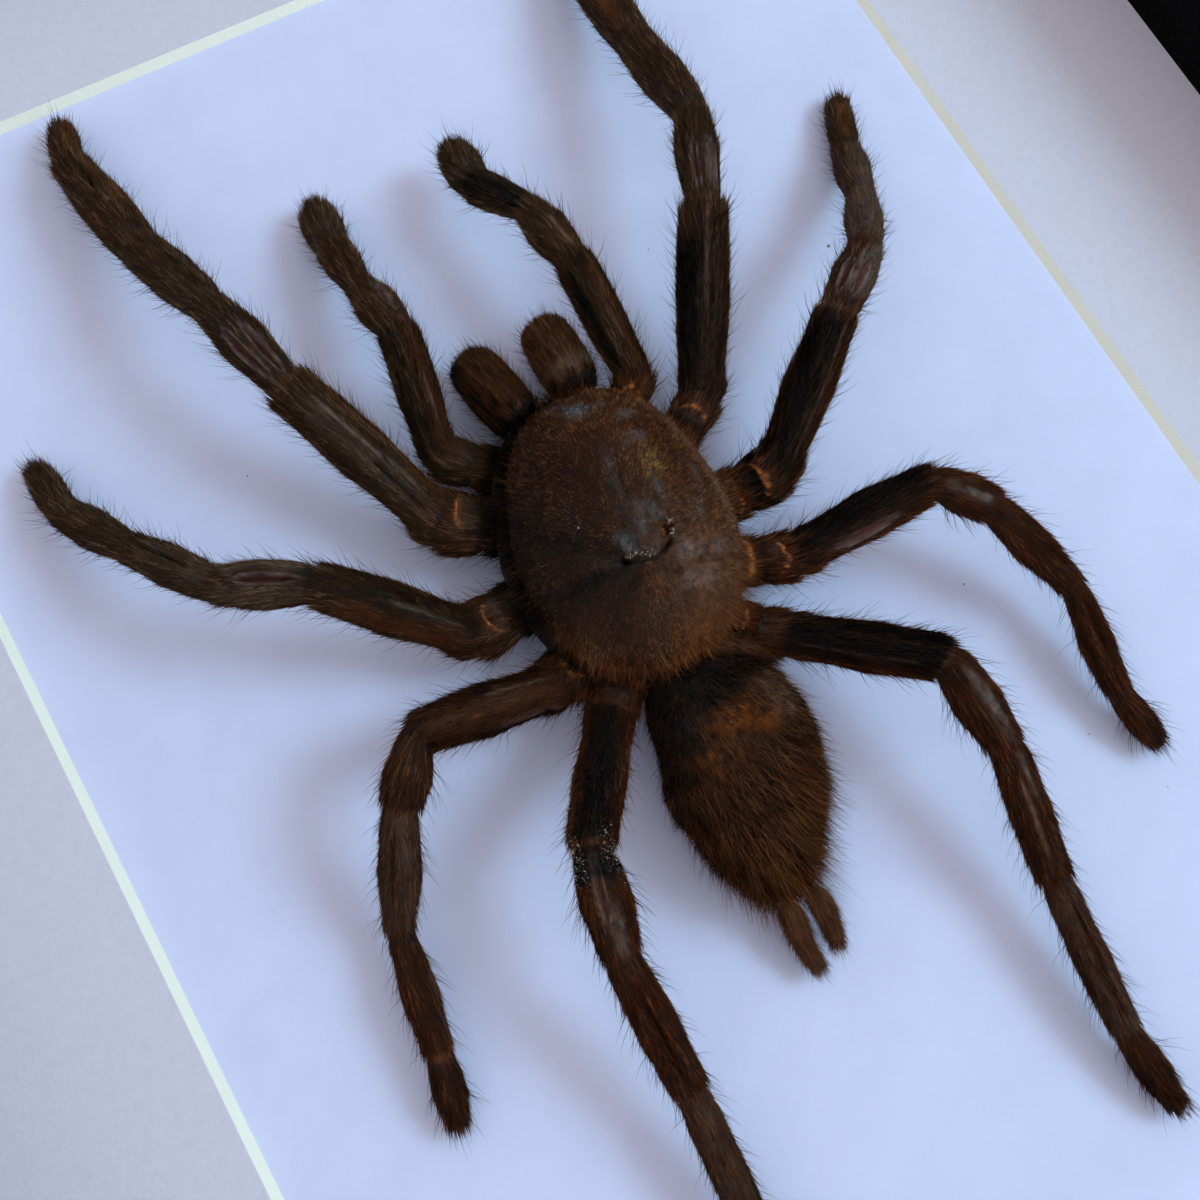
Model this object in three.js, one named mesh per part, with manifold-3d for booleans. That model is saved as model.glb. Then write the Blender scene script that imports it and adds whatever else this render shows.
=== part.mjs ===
// A dried tarantula laid out on a pale card, in a black box frame with a bevelled mat and glass.
// Millimetres. The frame lies on its back: +Z comes out of the glass and +Y runs to the top rail,
// where the spider's head points. The origin is the middle of the frame's back.

import * as THREE from "three";
import { mergeVertices } from "three/addons/utils/BufferGeometryUtils.js";
import Module from "manifold-3d";

const wasm = await Module();
wasm.setup();

// ---- Driving dimensions: the frame and what is stacked in it ----
const PANE_WIDTH = 203.2; // 8 in
const PANE_HEIGHT = 254; // 10 in
const PANE_THICKNESS = 2;
const REBATE_CLEARANCE = 0.4; // all round the pane, mat, card and back
const REBATE_WALL = 8; // wood outside the rebate
const LIP_WIDTH = 6.4; // wood in front of the pane's edge
const LIP_THICKNESS = 3.2;
const GLAZING_GAP = 0.3;
const RAIL_CHAMFER = 1;
const MITRE_GAP = 0.3;
const BACK_RECESS = 3; // the back panel sits this far inside the frame
const BACK_THICKNESS = 3;
const CARD_THICKNESS = 3;
const MAT_THICKNESS = 0.9;
const SPACER_HEIGHT = 19.6;
const SPACER_THICKNESS = 6;
const WINDOW_WIDTH = 127; // 5 in, at the foot of the bevel
const WINDOW_HEIGHT = 169;

const FRAME_WIDTH = PANE_WIDTH + 2 * (REBATE_CLEARANCE + REBATE_WALL);
const FRAME_HEIGHT = PANE_HEIGHT + 2 * (REBATE_CLEARANCE + REBATE_WALL);
const CARD_TOP = BACK_RECESS + BACK_THICKNESS + CARD_THICKNESS;
const MAT_TOP = CARD_TOP + MAT_THICKNESS;
const PANE_BOTTOM = MAT_TOP + SPACER_HEIGHT;
const LIP_UNDERSIDE = PANE_BOTTOM + PANE_THICKNESS + GLAZING_GAP;
const FRAME_DEPTH = LIP_UNDERSIDE + LIP_THICKNESS;

// Steel tabs sunk in the rebate wall, which hold the back panel in.
const TAB = { width: 8, sunk: 5, reach: 10, thickness: 0.6, clearance: 0.3 };
const TABS_ON_LONG_RAIL = 3;
const TABS_ON_SHORT_RAIL = 2;

// Sawtooth hanger riveted to the back panel. Its teeth are along the middle of its lower edge.
const HANGER = { length: 46, height: 8, thickness: 0.7, corner: 3.2, belowTop: 22, lift: 0.4 };
const HANGER_TEETH = { count: 9, pitch: 3, depth: 1.6 };
const RIVET = { radius: 1.8, fromEnd: 4.4 };

// ---- Driving dimensions: the spider, measured up from the card ----
// Headings are degrees clockwise from +Y, pitches are degrees up from the card.
const BELLY_CLEARANCE = 0.4;
const CARAPACE = { x: -2, y: 4.5, length: 32, width: 24.4, heading: 9, margin: 8.9, dome: 4.2 };
const CARAPACE_UNDERSIDE = 8.3;
const CARAPACE_RINGS = [0.93, 0.82, 0.68, 0.52, 0.36, 0.18]; // parts of its full outline, inwards
const STERNUM_SHARE = 0.44; // the sternum's outline as a part of the carapace's
const HEAD_SWELL = { forward: 7.5, spreadAcross: 5, spreadAlong: 6, height: 1.3 };
const EYE_MOUND = { across: -0.3, forward: 13, length: 1.9, width: 2.6, height: 0.9 };
const FOVEA = { across: 0.9, forward: -5, length: 5.4, width: 1.3, depth: 1.1, turn: -5 };
const TORN_HOLE = { across: 3.7, forward: -2.6, width: 2.4, depth: 1.7 };

const COXA_HEIGHT = 5.2;
const COXA_RADIUS = 2.3;
const COXA_SHARE = 0.62; // of the way from root to hip, where the trochanter starts
const COXA_RISE = 0.2; // of the climb from root to hip
const JOINT_WAIST = 0.86; // a joint's radius next to the thinner podomere that meets there
const GIRTH_STATIONS = [0.2, 0.5, 0.85];
const LEG_SIDES = 10;

// One entry for each pair: podomere lengths from the femur out, and their radii at the stations.
const LEG_PAIRS = {
  leg_1: {
    lengths: [21.5, 12, 14, 17.5, 7.5],
    radii: [[2.8, 3.2, 3], [2.4, 2.8, 2.3], [2.6, 2.9, 2.6], [2.8, 2.9, 2.5], [2.1, 2, 1.7]],
  },
  leg_2: {
    lengths: [18, 10, 12, 11, 8.5],
    radii: [[2.6, 3, 2.7], [2.5, 2.7, 2.3], [2.2, 2.4, 2], [2.1, 2.4, 2.1], [2, 2, 1.7]],
  },
  leg_3: {
    lengths: [16.5, 7.5, 13.5, 12.5, 8],
    radii: [[2.6, 3, 2.5], [2.2, 2.6, 2.4], [2.2, 2.4, 1.9], [1.8, 2.1, 1.8], [1.8, 1.9, 1.5]],
  },
  leg_4: {
    lengths: [17, 10.5, 15.5, 17, 10],
    radii: [[2.6, 2.9, 2.7], [2.5, 2.8, 2.3], [2.2, 2.4, 2.2], [2, 2.1, 1.9], [1.9, 2, 1.5]],
  },
  pedipalp: {
    lengths: [14.5, 8.5, 8, 8],
    radii: [[2.3, 2.6, 2.5], [2.4, 2.7, 2.1], [2, 2.3, 2.3], [2.5, 2.6, 2.1]],
  },
};

// root is under the carapace, hip is where the femur starts, and pose holds [heading, pitch].
const LEGS = [
  { pair: "leg_1", side: "left", root: [-8, 9.5], hip: [-18, 14.5, 6.5],
    pose: [[-23, 20], [-15, 3], [-15, -22], [-8, -16], [10, -18]] },
  { pair: "leg_1", side: "right", root: [5.5, 9], hip: [14, 13.5, 7],
    pose: [[29, 19], [25, -3], [4, -17], [6, -17], [16, -17]] },
  { pair: "leg_2", side: "left", root: [-9, 3.5], hip: [-21, 2, 6.5],
    pose: [[-50, 30], [-60, -8], [-33, -21], [-29, -25], [-7, -22]] },
  { pair: "leg_2", side: "right", root: [6.2, 3], hip: [16.5, 2, 8],
    pose: [[50, 25], [55, -10], [39, -30], [30, -28], [26, -8]] },
  { pair: "leg_3", side: "left", root: [-8.5, -2.5], hip: [-16, -7, 7],
    pose: [[-84, 23], [-139, -10], [-149, -34], [-170, -3], [-167, -15]] },
  { pair: "leg_3", side: "right", root: [4.5, -2.8], hip: [13.5, -7, 7],
    pose: [[94, 22], [136, -15], [156, -20], [-175, -13], [168, -13]] },
  { pair: "leg_4", side: "left", root: [-6.5, -7.2], hip: [-12.5, -12, 6.5],
    pose: [[-140, 30], [-166, -7], [-180, -21], [-177, -15], [-180, -11]] },
  { pair: "leg_4", side: "right", root: [2, -7.8], hip: [8, -14, 7],
    pose: [[135, 25], [174, -11], [-175, -20], [-176, -10], [173, -11]] },
  { pair: "pedipalp", side: "left", root: [-6.3, 14.3], hip: [-14.5, 21.5, 5.5],
    pose: [[9, 21], [-5, -21], [-1, -20], [8, -20]] },
  { pair: "pedipalp", side: "right", root: [4, 14.3], hip: [9, 19.5, 6.5],
    pose: [[-4, 24], [-6, -8], [-25, -20], [6, -20]] },
];

// Sections from the pedicel to the tail: [y, middle x, half width, middle height, half height].
const ABDOMEN_SECTIONS = [
  [-9, -3.4, 0.8, 5.3, 0.8],
  [-11.2, -3.4, 3.7, 5.2, 2.8],
  [-12.4, -3.1, 5.4, 5.8, 3.9],
  [-14.4, -2.9, 7, 6.2, 5.3],
  [-17.4, -2.9, 8.3, 6.7, 6.2],
  [-21, -3.2, 9, 6.9, 6.4],
  [-25, -3.7, 8.8, 6.8, 6.3],
  [-28.6, -4.2, 7.9, 6.4, 5.8],
  [-32, -4.8, 6.4, 5.8, 4.9],
  [-35, -5, 4.7, 5.2, 3.7],
  [-37, -5.1, 2.6, 4.8, 2.1],
];
const ABDOMEN_SIDES = 18;

// The fang-bearing lobes in front of the carapace.
const CHELICERAE = [
  { side: "left", x: -4.9, y: 20.3, heading: -9, length: 10.6 },
  { side: "right", x: 2.5, y: 20.6, heading: 2, length: 10 },
];
const CHELICERA_SIZE = { halfWidth: 3.1, halfHeight: 4.1, middle: 6.2, droop: 1.2, sides: 12 };
// [part of the length, part of the full girth]
const CHELICERA_PROFILE = [[0.03, 0.7], [0.12, 0.94], [0.35, 1], [0.6, 1], [0.82, 0.93], [0.95, 0.68]];

// Points [x, y, height, radius] along each of the two long spinnerets.
const SPINNERETS = {
  left: [[-6.2, -38, 4.6, 0.9], [-6.4, -38.6, 4.4, 1.3], [-6.6, -41.2, 3.5, 1.3],
    [-6.7, -42.2, 3.2, 1.1], [-6.5, -44.4, 2.6, 1], [-6.4, -45.6, 2.3, 0.7]],
  right: [[-3.2, -38, 4.7, 0.9], [-3.2, -38.6, 4.5, 1.3], [-3.1, -40.6, 3.8, 1.3],
    [-3.2, -41.4, 3.5, 1.1], [-3.4, -43.4, 2.9, 1], [-3.6, -44.5, 2.6, 0.7]],
};

// ---- Materials ----
const material = (color, roughness, metalness = 0) =>
  new THREE.MeshStandardMaterial({ color, roughness, metalness });
const blackWood = material("#121214", 0.45);
const glass = new THREE.MeshStandardMaterial({
  color: "#eef3f2", roughness: 0.05, transparent: true, opacity: 0.25,
});
const blackBoard = material("#1a1a1c", 0.9);
const whiteMat = material("#dfe2ea", 0.95);
const paleCard = material("#dde4f2", 0.95);
const hardboard = material("#6b4a30", 0.85);
const zincSteel = material("#9a9da0", 0.4, 0.9);
const shellFur = material("#6e5334", 0.95);
const legFur = material("#54402f", 0.95);
const bellyFur = material("#4f3420", 0.95);

// ---- Helpers ----
const radians = THREE.MathUtils.degToRad;

// The unit vector of a heading and a pitch.
function direction(heading, pitch) {
  const across = Math.cos(radians(pitch));
  return new THREE.Vector3(
    Math.sin(radians(heading)) * across,
    Math.cos(radians(heading)) * across,
    Math.sin(radians(pitch)),
  );
}

// A closed skin over rings of equal count, with a point closing each end. Rings turn
// anticlockwise when seen from the last ring.
function loft(first, rings, last) {
  const sides = rings[0].length;
  const points = [first, ...rings.flat(), last];
  const ringStart = (k) => 1 + k * sides;
  const faces = [];
  for (let i = 0; i < sides; i += 1) {
    const j = (i + 1) % sides;
    faces.push(0, ringStart(0) + j, ringStart(0) + i);
    for (let k = 0; k + 1 < rings.length; k += 1) {
      const [a, b] = [ringStart(k) + i, ringStart(k) + j];
      const [c, d] = [ringStart(k + 1) + j, ringStart(k + 1) + i];
      faces.push(a, b, c, a, c, d);
    }
    const top = ringStart(rings.length - 1);
    faces.push(points.length - 1, top + i, top + j);
  }
  const geometry = new THREE.BufferGeometry().setFromPoints(points);
  geometry.setIndex(faces);
  return geometry;
}

// An upright ring across a direction of travel: width is level, height is square to both.
function ringAcross(middle, along, halfWidth, halfHeight, sides) {
  const level = new THREE.Vector3().crossVectors(along, new THREE.Vector3(0, 0, 1)).normalize();
  const up = new THREE.Vector3().crossVectors(level, along).normalize();
  return Array.from({ length: sides }, (_, i) => {
    const turn = (2 * Math.PI * i) / sides;
    return middle.clone()
      .addScaledVector(level, halfWidth * Math.cos(turn))
      .addScaledVector(up, -halfHeight * Math.sin(turn));
  });
}

function toSolid(geometry) {
  const bare = geometry.clone();
  bare.deleteAttribute("normal");
  bare.deleteAttribute("uv");
  const welded = mergeVertices(bare, 1e-4);
  return new wasm.Manifold(new wasm.Mesh({
    numProp: 3,
    vertProperties: welded.attributes.position.array,
    triVerts: new Uint32Array(welded.index.array),
  }));
}

function fromSolid(solid) {
  const { vertProperties, triVerts } = solid.getMesh();
  const geometry = new THREE.BufferGeometry();
  geometry.setAttribute("position", new THREE.BufferAttribute(vertProperties, 3));
  geometry.setIndex(new THREE.BufferAttribute(triVerts, 1));
  return geometry;
}

function named(name, geometry, surface) {
  geometry.computeVertexNormals();
  const mesh = new THREE.Mesh(geometry, surface.clone());
  mesh.name = name;
  return mesh;
}

// ---- The frame ----

// Where the tabs of a rail are, along its length.
function tabPlaces(length, count) {
  const spacing = length / count;
  return Array.from({ length: count }, (_, i) => (i - (count - 1) / 2) * spacing);
}

// A rail in its own frame: X along it, Y inwards from the frame's edge, Z towards the glass.
function railGeometry(length, tabCount) {
  const face = REBATE_WALL + LIP_WIDTH;
  const section = new THREE.Shape([
    new THREE.Vector2(0, 0),
    new THREE.Vector2(REBATE_WALL, 0),
    new THREE.Vector2(REBATE_WALL, LIP_UNDERSIDE),
    new THREE.Vector2(face, LIP_UNDERSIDE),
    new THREE.Vector2(face, FRAME_DEPTH - RAIL_CHAMFER),
    new THREE.Vector2(face - RAIL_CHAMFER, FRAME_DEPTH),
    new THREE.Vector2(RAIL_CHAMFER, FRAME_DEPTH),
    new THREE.Vector2(0, FRAME_DEPTH - RAIL_CHAMFER),
  ]);
  const geometry = new THREE.ExtrudeGeometry(section, { depth: length, bevelEnabled: false });
  const corners = geometry.attributes.position;
  for (let i = 0; i < corners.count; i += 1) {
    const inward = corners.getX(i);
    const height = corners.getY(i);
    const mitred = length / 2 - inward - MITRE_GAP / 2;
    corners.setXYZ(i, corners.getZ(i) > length / 2 ? mitred : -mitred, inward, height);
  }
  let rail = toSolid(geometry);
  const { width, sunk, thickness, clearance } = TAB;
  for (const place of tabPlaces(length, tabCount)) {
    const slot = new THREE.BoxGeometry(
      width + 2 * clearance,
      2 * (sunk + clearance),
      thickness + 2 * clearance,
    );
    slot.translate(place, REBATE_WALL, tabMiddle());
    rail = rail.subtract(toSolid(slot));
  }
  return fromSolid(rail);
}

function tabMiddle() {
  return BACK_RECESS - TAB.clearance - TAB.thickness / 2;
}

// A rail with the tabs sunk in it, placed on one side of the frame.
function railGroup(name, length, tabCount, turn, x, y) {
  const group = new THREE.Group();
  group.position.set(x, y, 0);
  group.rotation.z = turn;
  group.add(named(`frame_rail_${name}`, railGeometry(length, tabCount), blackWood));
  tabPlaces(length, tabCount).forEach((place, i) => {
    const tab = new THREE.BoxGeometry(TAB.width, TAB.sunk + TAB.reach, TAB.thickness);
    const mesh = named(`tab_${name}_${i + 1}`, tab, zincSteel);
    mesh.position.set(place, REBATE_WALL + (TAB.reach - TAB.sunk) / 2, tabMiddle());
    group.add(mesh);
  });
  return group;
}

function slab(name, width, height, bottom, thickness, surface) {
  const mesh = named(name, new THREE.BoxGeometry(width, height, thickness), surface);
  mesh.position.z = bottom + thickness / 2;
  return mesh;
}

// The strips that hold the glass up off the mat, flush with the lip's edge.
function spacers() {
  const opening = FRAME_WIDTH - 2 * (REBATE_WALL + LIP_WIDTH);
  const openingHeight = FRAME_HEIGHT - 2 * (REBATE_WALL + LIP_WIDTH);
  const across = new THREE.BoxGeometry(
    opening + 2 * SPACER_THICKNESS, SPACER_THICKNESS, SPACER_HEIGHT,
  );
  const upright = new THREE.BoxGeometry(
    SPACER_THICKNESS, openingHeight - 2 * MITRE_GAP, SPACER_HEIGHT,
  );
  const sideways = opening / 2 + SPACER_THICKNESS / 2;
  const endways = openingHeight / 2 + SPACER_THICKNESS / 2;
  return [
    ["top", across, 0, endways],
    ["bottom", across, 0, -endways],
    ["left", upright, -sideways, 0],
    ["right", upright, sideways, 0],
  ].map(([side, geometry, x, y]) => {
    const mesh = named(`spacer_${side}`, geometry.clone(), blackBoard);
    mesh.position.set(x, y, MAT_TOP + SPACER_HEIGHT / 2);
    return mesh;
  });
}

// The mat, whose window slopes outwards at 45 degrees from the card to its face.
function matMesh() {
  const corners = (width, height) => [
    new THREE.Vector2(-width / 2, -height / 2),
    new THREE.Vector2(width / 2, -height / 2),
    new THREE.Vector2(width / 2, height / 2),
    new THREE.Vector2(-width / 2, height / 2),
  ];
  const sheet = new THREE.Shape(corners(PANE_WIDTH, PANE_HEIGHT));
  sheet.holes.push(new THREE.Path(corners(WINDOW_WIDTH, WINDOW_HEIGHT).reverse()));
  const geometry = new THREE.ExtrudeGeometry(sheet, { depth: MAT_THICKNESS, bevelEnabled: false });
  const places = geometry.attributes.position;
  for (let i = 0; i < places.count; i += 1) {
    const onWindow = Math.abs(places.getX(i)) < PANE_WIDTH / 2 - 1;
    if (onWindow && places.getZ(i) > MAT_THICKNESS / 2) {
      places.setX(i, places.getX(i) + Math.sign(places.getX(i)) * MAT_THICKNESS);
      places.setY(i, places.getY(i) + Math.sign(places.getY(i)) * MAT_THICKNESS);
    }
  }
  const mesh = named("mat", geometry, whiteMat);
  mesh.position.z = CARD_TOP;
  return mesh;
}

// The hanger's plate stands a little off the panel on two rivets, which are one with it.
function hangerMesh() {
  const { length, height, thickness, corner, belowTop, lift } = HANGER;
  const { count, pitch, depth } = HANGER_TEETH;
  const firstTooth = (-count * pitch) / 2;
  const outline = [
    new THREE.Vector2(-length / 2, 0),
    new THREE.Vector2(firstTooth, 0),
  ];
  for (let i = 0; i < count; i += 1) {
    outline.push(new THREE.Vector2(firstTooth + (i + 0.5) * pitch, depth));
    outline.push(new THREE.Vector2(firstTooth + (i + 1) * pitch, 0));
  }
  outline.push(
    new THREE.Vector2(length / 2, 0),
    new THREE.Vector2(length / 2, height - corner),
    new THREE.Vector2(length / 2 - corner, height),
    new THREE.Vector2(-length / 2 + corner, height),
    new THREE.Vector2(-length / 2, height - corner),
  );
  const plate = new THREE.ExtrudeGeometry(new THREE.Shape(outline), {
    depth: thickness, bevelEnabled: false,
  });
  plate.translate(0, 0, -lift - thickness);
  let hanger = toSolid(plate);
  const rivetLength = lift + 2 * thickness;
  for (const side of [-1, 1]) {
    const rivet = new THREE.CylinderGeometry(RIVET.radius, RIVET.radius, rivetLength, 12);
    rivet.rotateX(Math.PI / 2);
    rivet.translate(side * (length / 2 - RIVET.fromEnd), height / 2, -rivetLength / 2);
    hanger = hanger.add(toSolid(rivet));
  }
  const mesh = named("hanger", fromSolid(hanger), zincSteel);
  mesh.position.set(0, PANE_HEIGHT / 2 - belowTop, BACK_RECESS);
  return mesh;
}

// ---- The spider ----

// The carapace's outline at an angle clockwise from the front: an oval, blunter and narrower ahead.
function carapacePoint(angle, share) {
  const power = Math.cos(angle) > 0 ? 0.72 : 0.88;
  const forward = Math.sign(Math.cos(angle)) * Math.abs(Math.cos(angle)) ** power;
  const across = Math.sign(Math.sin(angle)) * Math.abs(Math.sin(angle)) ** power;
  const taper = 1 - 0.22 * Math.max(0, forward);
  return new THREE.Vector2(
    (across * taper * share * CARAPACE.width) / 2,
    (forward * share * CARAPACE.length) / 2,
  );
}

// The carapace's top above the card: a dome, swollen over the head.
function carapaceTop(place, share) {
  const dome = CARAPACE.dome * (1 - share ** 2.3);
  const reach = (place.x / HEAD_SWELL.spreadAcross) ** 2
    + ((place.y - HEAD_SWELL.forward) / HEAD_SWELL.spreadAlong) ** 2;
  const swell = HEAD_SWELL.height * Math.exp(-reach) * (1 - share ** 6);
  return CARAPACE.margin + dome + swell;
}

function cephalothoraxGeometry() {
  const sides = 32;
  const level = (share, height) => Array.from({ length: sides }, (_, i) => {
    const place = carapacePoint((-2 * Math.PI * i) / sides, share);
    const top = height ?? carapaceTop(place, share);
    return new THREE.Vector3(place.x, place.y, top);
  });
  const rings = [
    level(STERNUM_SHARE * 0.8, BELLY_CLEARANCE),
    level(STERNUM_SHARE, BELLY_CLEARANCE + 1),
    level(STERNUM_SHARE * 1.04, CARAPACE_UNDERSIDE - 1),
    level(STERNUM_SHARE * 1.25, CARAPACE_UNDERSIDE),
    level(0.97, CARAPACE_UNDERSIDE + 0.1),
    level(1, CARAPACE.margin),
    ...CARAPACE_RINGS.map((share) => level(share)),
  ];
  const bottom = new THREE.Vector3(0, 0, BELLY_CLEARANCE);
  const top = new THREE.Vector3(0, 0, carapaceTop(new THREE.Vector2(0, 0), 0));
  let body = toSolid(loft(bottom, rings, top));

  const heightAt = (across, forward) => {
    const share = Math.hypot((2 * across) / CARAPACE.width, (2 * forward) / CARAPACE.length);
    return carapaceTop(new THREE.Vector2(across, forward), share);
  };
  const eyes = new THREE.SphereGeometry(1, 10, 8);
  eyes.scale(EYE_MOUND.width / 2, EYE_MOUND.length / 2, EYE_MOUND.height);
  const eyeHeight = heightAt(EYE_MOUND.across, EYE_MOUND.forward);
  eyes.translate(EYE_MOUND.across, EYE_MOUND.forward, eyeHeight - 0.1);
  body = body.add(toSolid(eyes));

  const groove = new THREE.SphereGeometry(1, 12, 8);
  groove.scale(FOVEA.length / 2, FOVEA.width / 2, FOVEA.depth);
  groove.rotateZ(radians(FOVEA.turn));
  groove.translate(FOVEA.across, FOVEA.forward, heightAt(FOVEA.across, FOVEA.forward));
  body = body.subtract(toSolid(groove));

  const hole = new THREE.ConeGeometry(TORN_HOLE.width / 2, 2 * TORN_HOLE.depth, 7);
  hole.rotateX(-Math.PI / 2);
  hole.translate(
    TORN_HOLE.across, TORN_HOLE.forward, heightAt(TORN_HOLE.across, TORN_HOLE.forward),
  );
  return fromSolid(body.subtract(toSolid(hole)));
}

function cephalothoraxMesh() {
  const mesh = named("cephalothorax", cephalothoraxGeometry(), shellFur);
  mesh.position.set(CARAPACE.x, CARAPACE.y, 0);
  mesh.rotation.z = -radians(CARAPACE.heading);
  return mesh;
}

// A leg or pedipalp: a chain of podomeres from its root under the carapace to its tip, each
// thickest at its middle, with a waist where two meet.
function limbMesh({ pair, side, root, hip, pose }) {
  const { lengths, radii } = LEG_PAIRS[pair];
  const start = new THREE.Vector3(root[0], root[1], COXA_HEIGHT);
  const hipPoint = new THREE.Vector3(...hip);
  const coxaEnd = start.clone().lerp(hipPoint, COXA_SHARE);
  coxaEnd.z = COXA_HEIGHT + COXA_RISE * (hipPoint.z - COXA_HEIGHT);
  const coxaWay = coxaEnd.clone().sub(start).normalize();
  const hipWay = hipPoint.clone().sub(coxaEnd).normalize();

  const rings = [];
  const addRing = (middle, along, radius) => {
    rings.push(ringAcross(middle, along, radius, radius, LEG_SIDES));
  };
  const coxaLength = start.distanceTo(coxaEnd);
  addRing(start.clone().addScaledVector(coxaWay, 0.3), coxaWay, COXA_RADIUS * 0.7);
  addRing(start.clone().addScaledVector(coxaWay, 0.35 * coxaLength), coxaWay, COXA_RADIUS);
  addRing(coxaEnd, coxaWay.clone().add(hipWay), COXA_RADIUS * 0.95);
  addRing(coxaEnd.clone().lerp(hipPoint, 0.5), hipWay, COXA_RADIUS * 1.04);

  const place = hipPoint.clone();
  let before = hipWay;
  let girthBefore = COXA_RADIUS * 1.04;
  lengths.forEach((length, k) => {
    const along = direction(...pose[k]);
    const waist = JOINT_WAIST * Math.min(girthBefore, radii[k][0]);
    addRing(place.clone(), before.clone().add(along), waist);
    GIRTH_STATIONS.forEach((station, s) => {
      addRing(place.clone().addScaledVector(along, station * length), along, radii[k][s]);
    });
    place.addScaledVector(along, length);
    before = along;
    girthBefore = radii[k][2];
  });
  const tipRadius = radii.at(-1)[2];
  addRing(place.clone().addScaledVector(before, -0.3 * tipRadius), before, 0.6 * tipRadius);
  return named(`${pair}_${side}`, loft(start, rings, place), legFur);
}

function abdomenMesh() {
  const along = new THREE.Vector3(0, -1, 0);
  const middle = ([y, x, , height]) => new THREE.Vector3(x, y, height);
  const rings = ABDOMEN_SECTIONS.map((section) =>
    ringAcross(middle(section), along, section[2], section[4], ABDOMEN_SIDES));
  const front = middle(ABDOMEN_SECTIONS[0]).addScaledVector(along, -0.4);
  const tail = middle(ABDOMEN_SECTIONS.at(-1)).addScaledVector(along, 0.6);
  return named("abdomen", loft(front, rings, tail), bellyFur);
}

function cheliceraMesh({ side, x, y, heading, length }) {
  const { halfWidth, halfHeight, middle, droop, sides } = CHELICERA_SIZE;
  const along = direction(heading, 0);
  const spot = (share) => new THREE.Vector3(x, y, middle - droop * share ** 2)
    .addScaledVector(along, share * length);
  const rings = CHELICERA_PROFILE.map(([share, girth]) =>
    ringAcross(spot(share), along, girth * halfWidth, girth * halfHeight, sides));
  return named(`chelicera_${side}`, loft(spot(0), rings, spot(1)), shellFur);
}

function spinneretMesh(side) {
  const points = SPINNERETS[side].map(([x, y, z]) => new THREE.Vector3(x, y, z));
  const route = new THREE.CatmullRomCurve3(points);
  const rings = points.map((point, i) => {
    const along = route.getTangent(i / (points.length - 1));
    const radius = SPINNERETS[side][i][3];
    return ringAcross(point, along, radius, radius, 8);
  });
  const before = points[0].clone().addScaledVector(route.getTangent(0), -0.2);
  const after = points.at(-1).clone().addScaledVector(route.getTangent(1), 0.5);
  return named(`spinneret_${side}`, loft(before, rings, after), bellyFur);
}

// ---- Assembly ----
const frame = new THREE.Group();
frame.add(
  railGroup("bottom", FRAME_WIDTH, TABS_ON_SHORT_RAIL, 0, 0, -FRAME_HEIGHT / 2),
  railGroup("right", FRAME_HEIGHT, TABS_ON_LONG_RAIL, Math.PI / 2, FRAME_WIDTH / 2, 0),
  railGroup("top", FRAME_WIDTH, TABS_ON_SHORT_RAIL, Math.PI, 0, FRAME_HEIGHT / 2),
  railGroup("left", FRAME_HEIGHT, TABS_ON_LONG_RAIL, -Math.PI / 2, -FRAME_WIDTH / 2, 0),
  slab("back_panel", PANE_WIDTH, PANE_HEIGHT, BACK_RECESS, BACK_THICKNESS, hardboard),
  slab("backing_card", PANE_WIDTH, PANE_HEIGHT, CARD_TOP - CARD_THICKNESS, CARD_THICKNESS, paleCard),
  slab("glass_pane", PANE_WIDTH, PANE_HEIGHT, PANE_BOTTOM, PANE_THICKNESS, glass),
  matMesh(),
  hangerMesh(),
  ...spacers(),
);

const spider = new THREE.Group();
spider.position.z = CARD_TOP;
spider.add(
  cephalothoraxMesh(),
  abdomenMesh(),
  ...CHELICERAE.map(cheliceraMesh),
  ...LEGS.map(limbMesh),
  ...Object.keys(SPINNERETS).map(spinneretMesh),
);

const specimen = new THREE.Group();
specimen.add(frame, spider);

export default specimen;
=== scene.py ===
"""The finish of a dried tarantula that lies on pale card in a black box frame.

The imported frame, boards, glass and fittings keep their shape and get their materials here. The
spider's plain solids are replaced by furred skins. Tables are in millimetres and meshes in metres.
"""

import math

import bpy
import numpy as np
from bpy.props import FloatProperty, FloatVectorProperty, IntProperty, PointerProperty
from mathutils import Matrix, Vector, noise


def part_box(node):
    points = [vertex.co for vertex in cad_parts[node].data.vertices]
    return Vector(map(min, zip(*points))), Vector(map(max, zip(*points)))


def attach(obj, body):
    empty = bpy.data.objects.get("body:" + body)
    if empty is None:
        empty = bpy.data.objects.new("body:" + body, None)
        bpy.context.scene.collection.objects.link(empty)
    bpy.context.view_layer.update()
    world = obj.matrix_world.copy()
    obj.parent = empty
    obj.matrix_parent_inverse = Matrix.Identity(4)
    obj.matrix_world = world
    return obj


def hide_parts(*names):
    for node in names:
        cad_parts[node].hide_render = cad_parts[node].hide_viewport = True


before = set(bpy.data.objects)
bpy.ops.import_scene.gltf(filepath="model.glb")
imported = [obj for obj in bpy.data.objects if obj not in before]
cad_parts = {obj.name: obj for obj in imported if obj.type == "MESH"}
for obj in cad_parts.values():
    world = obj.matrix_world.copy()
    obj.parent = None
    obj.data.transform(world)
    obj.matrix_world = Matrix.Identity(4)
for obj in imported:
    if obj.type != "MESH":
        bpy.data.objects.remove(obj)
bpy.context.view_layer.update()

bl_info = {
    "name": "Framed Tarantula Finish",
    "version": (1, 0, 0),
    "blender": (4, 5, 0),
    "location": "3D View > Sidebar > Specimen",
    "description": "Dresses a packed box frame and the dried tarantula in it",
    "category": "Object",
}

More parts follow.
